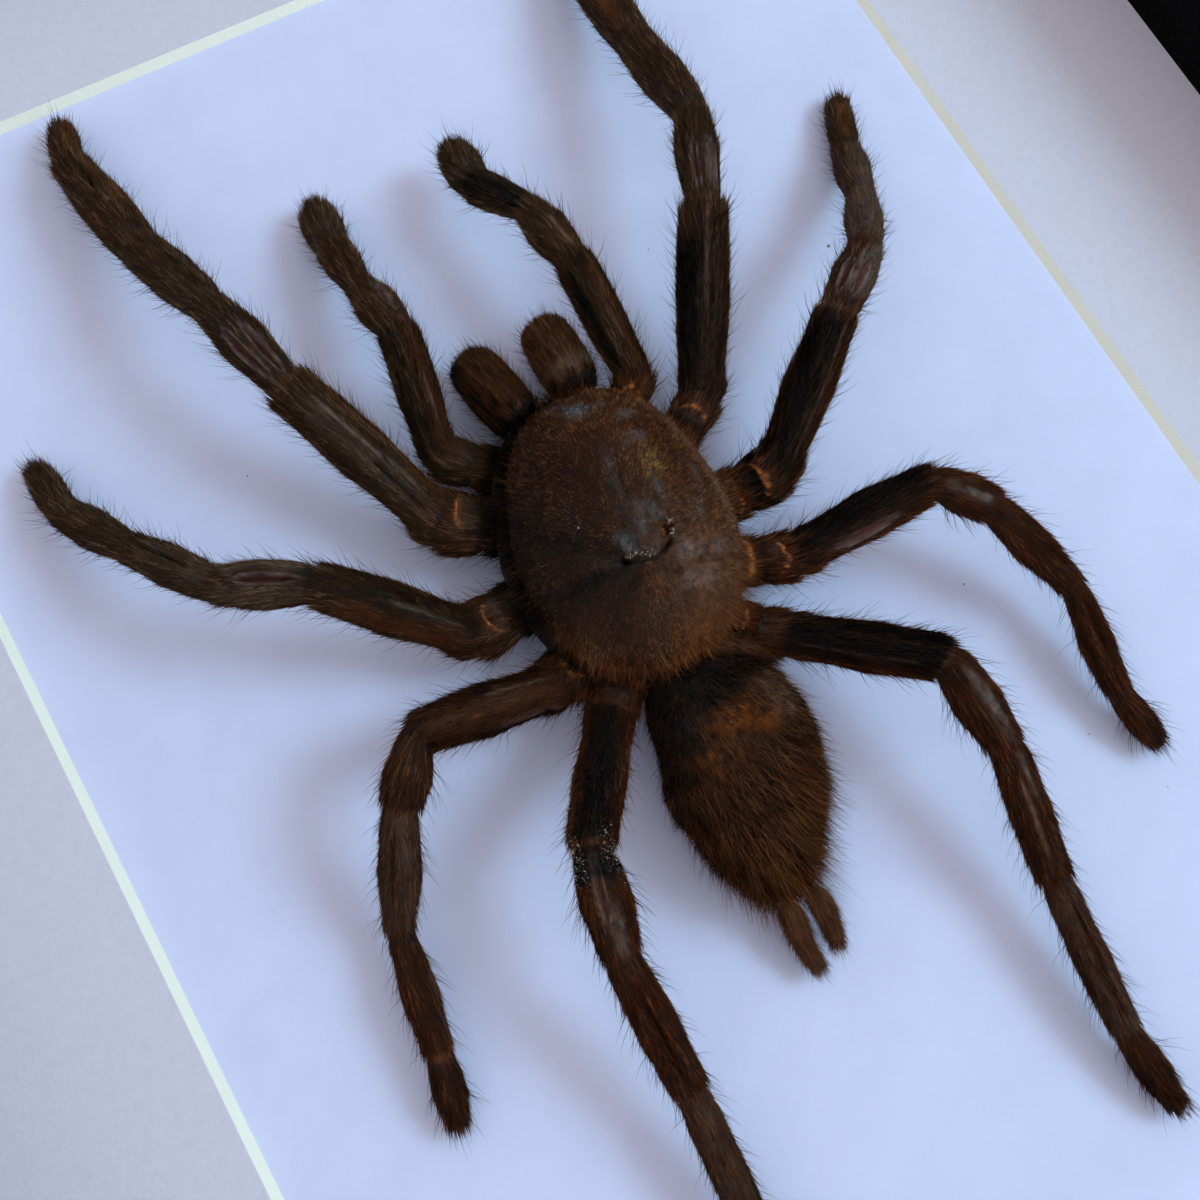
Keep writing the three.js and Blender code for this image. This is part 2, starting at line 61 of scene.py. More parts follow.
MM = 0.001
CARD_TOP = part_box("backing_card")[1].z / MM
GLASS_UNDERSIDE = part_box("glass_pane")[0].z / MM
CARD_GAP = 0.03
GLASS_GAP = 0.3

# ---- The spider's build, in mm above the card; headings are clockwise from +Y, pitches upwards ----
CARAPACE = {"x": -2, "y": 4.5, "length": 32, "width": 24.4, "heading": 9, "margin": 8.9, "dome": 4.2}
CARAPACE_UNDERSIDE = 8.3
STERNUM_SHARE = 0.44
BELLY_CLEARANCE = 0.4
HEAD_SWELL = {"forward": 7.5, "spread_across": 5, "spread_along": 6, "height": 1.3}
EYE_MOUND = {"across": -0.3, "forward": 13, "length": 1.9, "width": 2.6, "height": 0.9}

COXA_HEIGHT = 5.2
COXA_RADIUS = 2.3
COXA_TAPER = 0.9
TROCHANTER_SWELL = 1.04
# How much broader than high each limb is at its root, in fur.
ROOT_BREADTH = {
    "leg_1_left": 1.75, "leg_2_left": 1.55, "leg_3_left": 1.45, "leg_4_left": 1.4,
    "leg_1_right": 1.25, "leg_2_right": 1.5, "leg_3_right": 1.35, "leg_4_right": 1.3,
    "pedipalp_left": 1.25, "pedipalp_right": 1.1,
}
COXA_SHARE = 0.62
COXA_RISE = 0.2
JOINT_WAIST = 0.86
GIRTH_STATIONS = (0.2, 0.5, 0.85)
SHOULDER = {"at": 1.0, "latest": 0.12, "girth": 0.94}
COLLAR = {"width": 0.55, "girth": 0.99}

# Podomere lengths from the femur out, and their radii at the stations.
LEG_PAIRS = {
    "leg_1": ((21.5, 12, 14, 17.5, 7.5),
              ((2.8, 3.2, 3), (2.4, 2.8, 2.3), (2.6, 2.9, 2.6), (2.8, 2.9, 2.5), (2.1, 2, 1.7))),
    "leg_2": ((18, 10, 12, 11, 8.5),
              ((2.6, 3, 2.7), (2.5, 2.7, 2.3), (2.2, 2.4, 2), (2.1, 2.4, 2.1), (2, 2, 1.7))),
    "leg_3": ((16.5, 7.5, 13.5, 12.5, 8),
              ((2.6, 3, 2.5), (2.2, 2.6, 2.4), (2.2, 2.4, 1.9), (1.8, 2.1, 1.8), (1.8, 1.9, 1.5))),
    "leg_4": ((17, 10.5, 15.5, 17, 10),
              ((2.6, 2.9, 2.7), (2.5, 2.8, 2.3), (2.2, 2.4, 2.2), (2, 2.1, 1.9), (1.9, 2, 1.5))),
    "pedipalp": ((14.5, 8.5, 8, 8),
                 ((2.3, 2.6, 2.5), (2.4, 2.7, 2.1), (2, 2.3, 2.3), (2.5, 2.6, 2.1))),
}

# root is under the carapace, hip is where the femur starts, and pose holds (heading, pitch).
LIMBS = {
    "leg_1_left": ((-8, 9.5), (-18, 14.5, 6.5), ((-23, 20), (-15, 3), (-15, -22), (-8, -16), (10, -18))),
    "leg_1_right": ((5.5, 9), (14, 13.5, 7), ((29, 19), (25, -3), (4, -17), (6, -17), (16, -17))),
    "leg_2_left": ((-9, 3.5), (-21, 2, 6.5), ((-50, 30), (-60, -8), (-33, -21), (-29, -25), (-7, -22))),
    "leg_2_right": ((6.2, 3), (16.5, 2, 8), ((50, 25), (55, -10), (39, -30), (30, -28), (26, -8))),
    "leg_3_left": ((-8.5, -2.5), (-16, -7, 7),
                   ((-84, 23), (-139, -10), (-149, -34), (-170, -3), (-167, -15))),
    "leg_3_right": ((4.5, -2.8), (13.5, -7, 7),
                    ((94, 22), (136, -15), (156, -20), (-175, -13), (168, -13))),
    "leg_4_left": ((-6.5, -7.2), (-12.5, -12, 6.5),
                   ((-140, 30), (-166, -7), (-180, -21), (-177, -15), (-180, -11))),
    "leg_4_right": ((2, -7.8), (8, -14, 7),
                    ((135, 25), (174, -11), (-175, -20), (-176, -10), (173, -11))),
    "pedipalp_left": ((-6.3, 14.3), (-14.5, 21.5, 5.5), ((9, 21), (-5, -21), (-1, -20), (8, -20))),
    "pedipalp_right": ((4, 14.3), (9, 19.5, 6.5), ((-4, 24), (-6, -8), (-25, -20), (6, -20))),
}
LEG_PODOMERES = ("coxa", "trochanter", "femur", "patella", "tibia", "metatarsus", "tarsus")
PALP_PODOMERES = ("coxa", "trochanter", "femur", "patella", "tibia", "tarsus")

# Sections from the pedicel to the tail: y, middle x, half width, middle height, half height.
ABDOMEN_SECTIONS = (
    (-9, -3.4, 0.8, 5.3, 0.8), (-11.2, -3.4, 3.7, 5.2, 2.8), (-12.4, -3.1, 5.4, 5.8, 3.9),
    (-14.4, -2.9, 7, 6.2, 5.3), (-17.4, -2.9, 8.3, 6.7, 6.2), (-21, -3.2, 9, 6.9, 6.4),
    (-25, -3.7, 8.8, 6.8, 6.3), (-28.6, -4.2, 7.9, 6.4, 5.8), (-32, -4.8, 6.4, 5.8, 4.9),
    (-35, -5, 4.7, 5.2, 3.7), (-37, -5.1, 2.6, 4.8, 2.1),
)

# x, y, heading and length of the two fang-bearing lobes.
CHELICERAE = {"left": (-4.9, 20.3, -9, 10.6), "right": (2.5, 20.6, 2, 10)}
CHELICERA_SIZE = {"half_width": 3.1, "half_height": 4.1, "middle": 6.2, "droop": 1.2}
CHELICERA_PROFILE = ((0, 0.6), (0.03, 0.8), (0.12, 0.94), (0.35, 1), (0.6, 1), (0.82, 0.93),
                     (0.9, 0.81), (0.96, 0.6), (1, 0.3))
# How dark the combed stripes are all over and at the outer flank, the pale glint at the root, and
# how light the hair is.
CHELICERA_LOOKS = {
    "left": {"stripes": 0.3, "flank_stripes": 0.6, "glint": 0, "band": 0.12},
    "right": {"stripes": 0.25, "flank_stripes": 0, "glint": 1, "band": 0.65},
}

# Points x, y, height and radius along each of the two long spinnerets.
SPINNERETS = {
    "left": ((-6.2, -38, 4.6, 0.9), (-6.4, -38.6, 4.4, 1.3), (-6.6, -41.2, 3.5, 1.3),
             (-6.7, -42.2, 3.2, 1.1), (-6.5, -44.4, 2.6, 1), (-6.4, -45.6, 2.3, 0.7)),
    "right": ((-3.2, -38, 4.7, 0.9), (-3.2, -38.6, 4.5, 1.3), (-3.1, -40.6, 3.8, 1.3),
              (-3.2, -41.4, 3.5, 1.1), (-3.4, -43.4, 2.9, 1), (-3.6, -44.5, 2.6, 0.7)),
}
SPINNERET_SEGMENTS = 3

# The tufted ridge behind the carapace: x, y and height from its left end to the right hind leg.
SADDLE_ROUTE = ((-6.0, -9.6, 5.4), (-2.0, -9.8, 6.0), (2.0, -12.0, 6.3), (5.6, -15.0, 5.6))
SADDLE_GIRTH = {"ends": 0.6, "swell": 1.9}

# ---- What drying left on the limbs ----
# depth, lip and bow are in mm. Bare, pale, rust, flesh and dark say how far the place is so.
MARK_KINDS = {
    "slit": {"depth": 0.9, "lip": 0.22, "bare": 1, "flesh": 1, "dark": 0.45},
    "pink_slit": {"depth": 0.6, "lip": 0.18, "bare": 1, "flesh": 1, "pale": 0.12},
    "furrow": {"depth": 0.45, "lip": 0.1, "dark": 0.6},
    "streak": {"depth": 0.05, "bare": 0.9, "pale": 0.32},
    "line": {"depth": 0.12, "bare": 0.8, "pale": 0.12, "rust": 0.25},
    "scar": {"depth": 0.12, "bare": 0.75, "pale": 0.1, "wrinkle": 0.25},
    "knee": {"depth": 0.1, "bare": 0.8, "rust": 0.4},
    "pale_knee": {"depth": 0.1, "bare": 0.8, "pale": 0.3, "rust": 0.3},
    "oval": {"depth": -0.25, "bare": 0.3, "pale": 0.05, "wrinkle": 0.1},
    "arc": {"depth": -0.25, "bare": 1, "rust": 1, "bow": 1.1},
    "shade": {"dark": 1},
    "dusk": {"dark": 0.45},
    "gloom": {"dark": 0.7},
    "ember": {"rust": 0.24},
    "bloom": {"pale": 0.24},
    "haze": {"pale": 0.1},
}

# podomere, kind, start and end along it, side in degrees right of its top, half width in mm.
RING = None
MARKS = {
    "leg_1_left": (
        ("patella", "slit", 0.08, 0.68, -30, 0.45), ("patella", "slit", 0.06, 0.62, 16, 0.4),
        ("femur", "streak", 0.16, 0.52, 16, 0.17), ("femur", "streak", 0.42, 0.82, 6, 0.15),
        ("femur", "furrow", 0.05, 0.45, -14, 0.35), ("femur", "ember", 0.05, 0.98, 62, 1.1),
        ("patella", "knee", 0, 0.01, RING, 0), ("trochanter", "oval", 0.45, 1, 12, 1.7),
        ("trochanter", "arc", 0.8, 0.88, 14, 1.4), ("trochanter", "ember", 0.6, 0.95, 24, 0.9),
        ("metatarsus", "furrow", 0.5, 0.97, 8, 0.4), ("metatarsus", "ember", 0.3, 1, 50, 1.2),
        ("tarsus", "ember", 0, 0.9, 40, 1.1), ("tarsus", "knee", 0, 0.04, 50, 1.2),
        ("tibia", "furrow", 0.1, 0.7, 20, 0.3), ("coxa", "scar", 0.75, 0.95, 30, 1.1),
        ("femur", "haze", 0.1, 0.9, -20, 1.6),
    ),
    "leg_1_right": (
        ("femur", "shade", 0, 0.8, -40, 2.6), ("femur", "gloom", 0, 0.9, 20, 3),
        ("femur", "line", 0.1, 0.9, 28, 0.15),
        ("femur", "streak", 0.3, 0.62, 36, 0.14), ("femur", "line", 0.45, 1, 0, 0.14),
        ("femur", "line", 0.5, 0.95, -22, 0.13), ("patella", "slit", 0.05, 0.55, -20, 0.3),
        ("patella", "scar", 0.1, 0.62, 16, 0.45), ("patella", "slit", 0.08, 0.6, 36, 0.3),
        ("patella", "knee", 0, 0.01, RING, 0), ("trochanter", "oval", 0.3, 0.95, 0, 1.9),
        ("trochanter", "arc", 0.66, 0.74, 4, 1.7), ("trochanter", "shade", 0, 0.14, RING, 0),
        ("tibia", "furrow", 0.2, 0.9, -5, 0.35), ("metatarsus", "ember", 0.1, 0.9, -30, 1),
        ("coxa", "ember", 0.2, 0.9, 30, 1.5),
    ),
    "leg_2_left": (
        ("patella", "slit", 0.14, 0.76, 2, 0.5), ("femur", "streak", 0.12, 0.6, 2, 0.2),
        ("femur", "furrow", 0.1, 0.8, 24, 0.3), ("femur", "ember", 0.1, 0.9, -50, 1.2),
        ("trochanter", "oval", 0.3, 0.95, 10, 1.7), ("trochanter", "arc", 0.72, 0.79, 0, 1.3),
        ("coxa", "scar", 0.62, 0.9, 20, 1.4),
        ("patella", "shade", 0, 0.08, 10, 1.6), ("tibia", "furrow", 0.1, 0.8, 10, 0.3),
        ("femur", "dusk", 0, 1, 20, 3), ("patella", "bloom", 0.1, 1, 60, 1.4),
        ("patella", "haze", 0.1, 1, -50, 1.4), ("tibia", "haze", 0, 0.8, 20, 2),
    ),
    "leg_2_right": (
        ("femur", "shade", 0, 0.95, -20, 3.0), ("femur", "line", 0.1, 0.95, 34, 0.17),
        ("femur", "line", 0.05, 0.5, 10, 0.15), ("patella", "pale_knee", 0, 0.005, RING, 0),
        ("patella", "scar", 0.12, 0.8, -2, 0.4), ("patella", "slit", 0.12, 0.6, -26, 0.42),
        ("patella", "pink_slit", 0.15, 0.72, 20, 0.42), ("trochanter", "arc", 0.72, 0.82, 6, 1.9),
        ("trochanter", "shade", 0.3, 0.6, RING, 0), ("coxa", "arc", 0.93, 0.97, 34, 1.1),
        ("tarsus", "ember", 0.1, 0.8, 0, 1), ("coxa", "ember", 0, 1, 0, 2),
        ("tibia", "bloom", 0, 1, 0, 3), ("patella", "bloom", 0.2, 1, 50, 1.6),
        ("metatarsus", "bloom", 0, 0.9, 20, 2),
    ),
    "leg_3_left": (
        ("femur", "pink_slit", 0.12, 0.5, -62, 0.3), ("femur", "ember", 0.05, 1, -20, 2.4),
        ("femur", "gloom", 0, 1, 10, 5), ("femur", "gloom", 0, 1, -60, 3), ("tibia", "haze", 0, 1, 0, 3),
        ("femur", "streak", 0.1, 0.55, 20, 0.15), ("metatarsus", "scar", 0.35, 0.85, -70, 0.5),
        ("tarsus", "dusk", 0.1, 1, RING, 0), ("tarsus", "knee", 0, 0.05, RING, 0),
        ("trochanter", "arc", 0.7, 0.78, -10, 1.4), ("trochanter", "furrow", 0.1, 0.5, 20, 0.5),
        ("coxa", "arc", 0.55, 0.62, 0, 1.6), ("coxa", "ember", 0.2, 1, 0, 1.8),
        ("tibia", "knee", 0, 0.02, RING, 0), ("tibia", "furrow", 0.1, 0.8, 15, 0.3),
    ),
    "leg_3_right": (
        ("femur", "shade", 0, 0.95, -25, 2.8), ("femur", "pink_slit", 0.25, 0.72, 46, 0.45),
        ("patella", "scar", 0.1, 0.85, 12, 0.7), ("trochanter", "arc", 0.82, 0.9, 10, 1.6),
        ("trochanter", "scar", 0.4, 0.7, -14, 0.8), ("coxa", "arc", 0.8, 0.93, 4, 2.3),
        ("coxa", "ember", 0.5, 1, 0, 2.4), ("tibia", "furrow", 0.1, 0.8, -10, 0.35),
        ("tarsus", "dusk", 0.5, 1, RING, 0), ("metatarsus", "furrow", 0.1, 0.8, 5, 0.3),
    ),
    "leg_4_left": (
        ("femur", "shade", 0.05, 1, 10, 2.2), ("femur", "knee", 0, 0.02, RING, 0),
        ("patella", "knee", 0, 0.01, RING, 0), ("patella", "pink_slit", 0.08, 0.7, 12, 0.36),
        ("patella", "bloom", 0.5, 0.95, -8, 1), ("patella", "shade", 0.03, 0.26, RING, 0),
        ("metatarsus", "knee", 0, 0.02, RING, 0), ("trochanter", "oval", 0.5, 0.9, 0, 1.4),
        ("coxa", "arc", 0.7, 0.78, 10, 1.6), ("coxa", "ember", 0.4, 1, 0, 1.8),
        ("tibia", "furrow", 0.1, 0.85, 5, 0.35), ("tarsus", "ember", 0.1, 0.9, 20, 0.9),
        ("metatarsus", "haze", 0, 1, 0, 3),
    ),
    "leg_4_right": (
        ("femur", "shade", 0, 1, 0, 3.6), ("femur", "line", 0.1, 0.85, 38, 0.17),
        ("patella", "pale_knee", 0, 0.005, RING, 0), ("patella", "scar", 0.12, 0.95, -6, 0.8),
        ("tibia", "scar", 0.05, 0.35, -10, 0.6), ("tibia", "line", 0.2, 0.75, 16, 0.3),
        ("trochanter", "oval", 0.3, 0.9, 0, 1.5), ("coxa", "arc", 0.78, 0.86, 0, 1.8),
        ("tarsus", "dusk", 0.3, 1, RING, 0), ("metatarsus", "furrow", 0.1, 0.9, 0, 0.3),
        ("metatarsus", "haze", 0, 1, 0, 3),
    ),
    "pedipalp_left": (
        ("patella", "slit", 0.2, 0.75, 24, 0.34), ("patella", "pale_knee", 0.02, 0.06, 30, 0.7),
        ("femur", "streak", 0.25, 0.65, 26, 0.18), ("femur", "ember", 0, 1, 30, 1.4),
        ("trochanter", "oval", 0.3, 0.8, 0, 1.2), ("tibia", "furrow", 0.1, 0.8, 10, 0.3),
        ("femur", "gloom", 0, 1, -10, 4), ("femur", "dusk", 0, 1, 40, 4),
    ),
    "pedipalp_right": (
        ("tibia", "shade", 0, 0.95, -20, 1.8), ("femur", "shade", 0.1, 0.9, -50, 0.9),
        ("femur", "ember", 0.1, 0.9, 20, 1), ("trochanter", "arc", 0.5, 0.6, 0, 1.2),
        ("trochanter", "ember", 0, 1, 10, 1.6), ("patella", "line", 0.1, 0.6, 10, 0.2),
        ("femur", "streak", 0.3, 0.7, 4, 0.14), ("femur", "dusk", 0, 1, 10, 4),
    ),
}

# How softly a mark ends, as a share of the podomere: cut edges are sharp and worn ones soft.
SHARP_END = 0.022
SOFT_END = 0.06
# A cut's raised lip: its place and its spread in half widths, and how pale and bare it is.
LIP = {"place": 1.35, "spread": 0.38, "pale": 0.3, "bare": 0.6}

GLUED_KNEE = {"limb": "leg_4_left", "crumbs": 420, "spread": 1.3, "radius": 2.5}
GLUE_SIZE = {"least": 0.02, "typical": 0.028}
GLUE_SIDES = (-1.15, -0.6, 0.75, 1.2)  # where the crumbs gather, in radians from the knee's top
RING_STEP = 0.4
LIMB_SIDES = 56
CORNER = 1.7  # how far from a joint its bend starts
CORNER_SHARE = 0.32  # the most of a podomere that one bend takes
FUR_DEPTH = 0.32  # pile between the skin and the limb's full girth
# Lengthwise furrows of the shrunken skin: the barrel that they are laid out on, and their width.
FURROWS = {"barrel": 2.2, "stretch": 9, "width": 0.75, "depth": 0.07}
LUMPS = {"size": 3.2, "depth": 0.05}


# ---- Small tools ----
def linear(hex_colour):
    """An sRGB hex value as linear red, green, blue."""
    parts = [int(hex_colour[i:i + 2], 16) / 255 for i in (1, 3, 5)]
    return tuple(c / 12.92 if c <= 0.04045 else ((c + 0.055) / 1.055) ** 2.4 for c in parts)


def direction(heading, pitch):
    """The unit vector of a heading and a pitch in degrees."""
    h, p = math.radians(heading), math.radians(pitch)
    return np.array((math.sin(h) * math.cos(p), math.cos(h) * math.cos(p), math.sin(p)))


def unit(v):
    """Vectors of length one along the last axis."""
    return v / np.maximum(np.linalg.norm(v, axis=-1, keepdims=True), 1e-9)


def ease(start, end, x):
    """0 before start, 1 after end, and a smooth climb between them."""
    t = np.clip((x - start) / (end - start), 0, 1)
    return t * t * (3 - 2 * t)


def bell(x, width):
    """1 at nought and near 0 at twice the width."""
    return np.exp(-(x / width) ** 2)


def patch_at(x, y, across, forward, half_across, half_forward):
    """1 in the middle of an oval patch, and little at twice its half widths."""
    return bell(np.hypot((x - across) / half_across, (y - forward) / half_forward), 1)


def ripple(points, size, seed):
    """Smooth noise from -1 to 1 at each point, with lumps of this size."""
    shift = Vector((seed * 7.13, seed * 3.71, seed * 1.97))
    flat = np.asarray(points, float).reshape(-1, 3) / size
    values = [noise.noise(Vector(p) + shift) for p in flat]
    return np.array(values).reshape(np.shape(points)[:-1])


def turns_of(sides):
    """The angle of each point of a ring, clockwise from its top."""
    return 2 * np.pi * np.arange(sides) / sides


def unrolled(turn, radius, travelled):
    """Places on a barrel along the piece, so that a pattern on them meets itself all round."""
    return np.stack(np.broadcast_arrays(
        np.cos(turn)[None, :] * radius, np.sin(turn)[None, :] * radius, travelled), -1)


def rings_across(middles, alongs, half_widths, half_heights, sides):
    """Upright rings along a route, each starting at its top and turning to its right."""
    level = unit(np.cross(alongs, (0, 0, 1)))
    up = unit(np.cross(level, alongs))
    turn = turns_of(sides)
    sideways = half_widths[..., None] * level[:, None, :] * np.sin(turn)[None, :, None]
    upwards = half_heights[..., None] * up[:, None, :] * np.cos(turn)[None, :, None]
    return middles[:, None, :] + sideways + upwards


def loft_mesh(name, rings, first, last):
    """A closed mesh in metres over rings given in mm above the card, with a pole at each end."""
    count, sides = rings.shape[:2]
    points = np.concatenate([rings.reshape(-1, 3), [first, last]])
    points = (points + (0, 0, CARD_TOP)) * MM
    i = np.arange(sides)
    j = (i + 1) % sides
    faces = []
    for k in range(count - 1):
        a, b = k * sides, (k + 1) * sides
        faces += np.stack([a + i, a + j, b + j, b + i], 1).tolist()
    pole = count * sides
    faces += np.stack([np.full(sides, pole), j, i], 1).tolist()
    end = (count - 1) * sides
    faces += np.stack([np.full(sides, pole + 1), end + i, end + j], 1).tolist()
    mesh = bpy.data.meshes.new(name)
    mesh.from_pydata(points.tolist(), [], faces)
    if signed_volume(points, faces) < 0:
        mesh.flip_normals()
    mesh.shade_smooth()
    return mesh


def signed_volume(points, faces):
    """Six times the volume inside the faces, positive where they face outwards."""
    total = 0.0
    for face in faces:
        a = points[face[0]]
        for b, c in zip(face[1:-1], face[2:]):
            total += np.dot(a, np.cross(points[b], points[c]))
    return total


def paint(mesh, layers):
    """Stores each layer on the mesh's points: numbers as floats, rows of three as vectors."""
    for name, values in layers.items():
        values = np.asarray(values, np.float32)
        kind, field = ("FLOAT_VECTOR", "vector") if values.ndim == 2 else ("FLOAT", "value")
        layer = mesh.attributes.new(name, kind, "POINT")
        layer.data.foreach_set(field, values.ravel())


def paint_rings(mesh, numbers, vectors):
    """Paints layers given ring by ring on a lofted mesh, whose poles take their ring's first value."""
    layers = {name: np.r_[grid.ravel(), grid[0, 0], grid[-1, 0]] for name, grid in numbers.items()}
    for name, grid in vectors.items():
        layers[name] = np.concatenate([grid.reshape(-1, 3), grid[0, :1], grid[-1, :1]])
    paint(mesh, layers)


def add(tree, kind, inputs=None, **settings):
    """A node of this kind with its settings; inputs maps a socket's name or place to a value or link."""
    node = tree.nodes.new(kind)
    for name, value in settings.items():
        setattr(node, name, value)
    for key, value in (inputs or {}).items():
        if isinstance(value, bpy.types.NodeSocket):
            tree.links.new(value, node.inputs[key])
        else:
            node.inputs[key].default_value = value
    return node


def place_object(name, mesh):
    """A new object at the origin that shows this mesh."""
    piece = bpy.data.objects.new(name, mesh)
    bpy.context.scene.collection.objects.link(piece)
    return piece


def join(pieces):
    """All of these objects as the first one, with their attributes and materials."""
    with bpy.context.temp_override(active_object=pieces[0], selected_editable_objects=pieces):
        bpy.ops.object.join()
    return pieces[0]


def dress(node, material):
    """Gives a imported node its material."""
    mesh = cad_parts[node].data
    mesh.materials.clear()
    mesh.materials.append(material)


def stand_for(piece, nodes):
    """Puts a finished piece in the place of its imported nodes."""
    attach(piece, "root")
    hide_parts(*nodes)


# ---- Materials ----
def new_material(name):
    """An empty material's tree, with its shader and output linked."""
    material = bpy.data.materials.new(name)
    material.use_nodes = True
    tree = material.node_tree
    tree.nodes.clear()
    shader = add(tree, "ShaderNodeBsdfPrincipled")
    add(tree, "ShaderNodeOutputMaterial", {"Surface": shader.outputs["BSDF"]})
    return material, tree, shader


def shader_values(shader, **values):
    """Sets the shader's own sockets, whose names are written with _ for a space."""
    for name, value in values.items():
        shader.inputs[name.replace("_", " ")].default_value = value


def blend_colour(tree, factor, low, high):
    """One colour turning into another; each is a hex value or a link."""
    def given(value):
        return (*linear(value), 1) if isinstance(value, str) else value
    node = add(tree, "ShaderNodeMix", {0: factor, 6: given(low), 7: given(high)}, data_type="RGBA")
    return node.outputs[2]


def sums(tree, operation, a, b):
    """One sum of two numbers or links."""
    return add(tree, "ShaderNodeMath", {0: a, 1: b}, operation=operation).outputs[0]


def layer_value(tree, name):
    """A painted layer's number."""
    return add(tree, "ShaderNodeAttribute", attribute_name=name).outputs["Fac"]


def object_noise(tree, size_mm, detail=3.0, stretch=(1, 1, 1)):
    """Noise on the object's own coordinates, with lumps of this real size."""
    place = add(tree, "ShaderNodeTexCoord").outputs["Object"]
    shaped = add(tree, "ShaderNodeMapping", {"Vector": place, "Scale": stretch})
    return add(tree, "ShaderNodeTexNoise", {
        "Vector": shaped.outputs[0], "Scale": 1 / (size_mm * MM), "Detail": detail,
    }).outputs["Fac"]


def range_of(tree, value, low, high, out_low=0.0, out_high=1.0):
    """A value stretched from one range to another, held at the ends."""
    return add(tree, "ShaderNodeMapRange", {
        "Value": value, "From Min": low, "From Max": high, "To Min": out_low, "To Max": out_high,
    }).outputs["Result"]


def relief(tree, shader, height, depth_mm, strength=1.0):
    """Bumps of a real depth on the shader."""
    bump = add(tree, "ShaderNodeBump", {
        "Height": height, "Distance": depth_mm * MM, "Strength": strength,
    })
    tree.links.new(bump.outputs["Normal"], shader.inputs["Normal"])


def satin_black_wood(name, grain):
    """Black-stained wood under sprayed satin lacquer: even black, with the grain faint in the gloss."""
    material, tree, shader = new_material(name)
    stretch = tuple(0.04 if axis == grain else 1 for axis in "xyz")
    fibres = object_noise(tree, 0.7, 5, stretch)
    cloud = object_noise(tree, 18)
    colour = blend_colour(tree, range_of(tree, fibres, 0.3, 0.7), "#030303", "#080708")
    tree.links.new(colour, shader.inputs["Base Color"])
    tree.links.new(range_of(tree, cloud, 0.3, 0.7, 0.38, 0.5), shader.inputs["Roughness"])
    shader_values(shader, Coat_Weight=0.02, Coat_Roughness=0.3, Specular_IOR_Level=0.04)
    relief(tree, shader, fibres, 0.05)
    return material


def black_foam_board():
    """Black paper-faced foam strips: matt, with a little tooth."""
    material, tree, shader = new_material("black_foam_board")
    tooth = object_noise(tree, 0.5, 4)
    colour = blend_colour(tree, tooth, "#030304", "#080809")
    tree.links.new(colour, shader.inputs["Base Color"])
    shader_values(shader, Roughness=0.86, Specular_IOR_Level=0.06)
    relief(tree, shader, tooth, 0.05)
    return material


def rag_mat_board():
    """Cotton mat board: a toothed paper face, and the creamy core where the bevel is cut."""
    material, tree, shader = new_material("rag_mat_board")
    tooth = object_noise(tree, 0.45, 6)
    flock = object_noise(tree, 1.1, 5)
    face = blend_colour(tree, range_of(tree, flock, 0.3, 0.7), "#cac9d6", "#cfcedb")
    facing = add(tree, "ShaderNodeNewGeometry").outputs["True Normal"]
    upward = add(tree, "ShaderNodeSeparateXYZ", {0: facing}).outputs["Z"]
    on_bevel = range_of(tree, sums(tree, "ABSOLUTE", upward, 0), 0.8, 0.95, 1, 0)
    colour = blend_colour(tree, on_bevel, face, "#f0f1e2")
    tree.links.new(colour, shader.inputs["Base Color"])
    shader_values(shader, Roughness=0.93, Specular_IOR_Level=0.3)
    relief(tree, shader, tooth, 0.09, 0.8)
    return material


def calendered_card():
    """Smooth pale blue card: nearly flat, with a faint cloud where the pulp is thicker."""
    material, tree, shader = new_material("calendered_card")
    tooth = object_noise(tree, 0.3, 4)
    cloud = object_noise(tree, 9, 3)
    colour = blend_colour(tree, range_of(tree, cloud, 0.35, 0.65), "#cbd2ee", "#cfd6f2")
    tree.links.new(colour, shader.inputs["Base Color"])
    shader_values(shader, Roughness=0.8, Specular_IOR_Level=0.35)
    relief(tree, shader, tooth, 0.025, 0.6)
    return material


def tempered_hardboard():
    """Pressed wood fibre: brown, with pale and dark fibres in a fine felt."""
    material, tree, shader = new_material("tempered_hardboard")
    fibres = object_noise(tree, 0.8, 8, (1, 0.3, 1))
    felt = object_noise(tree, 4, 5)
    base = blend_colour(tree, range_of(tree, felt, 0.3, 0.7), "#4f3320", "#6d4a2f")
    colour = blend_colour(tree, range_of(tree, fibres, 0.55, 0.75), base, "#92704c")
    tree.links.new(colour, shader.inputs["Base Color"])
    shader_values(shader, Roughness=0.72)
    relief(tree, shader, fibres, 0.12)
    return material


def zinc_plated_steel():
    """Bright zinc on stamped steel: a grey metal with drawn lines and duller clouds."""
    material, tree, shader = new_material("zinc_plated_steel")
    lines = object_noise(tree, 0.25, 3, (0.08, 1, 1))
    cloud = object_noise(tree, 2.5, 3)
    colour = blend_colour(tree, range_of(tree, cloud, 0.3, 0.7), "#8c9094", "#b4b8ba")
    tree.links.new(colour, shader.inputs["Base Color"])
    tree.links.new(range_of(tree, cloud, 0.3, 0.7, 0.28, 0.46), shader.inputs["Roughness"])
    shader_values(shader, Metallic=1.0)
    relief(tree, shader, lines, 0.02)
    return material


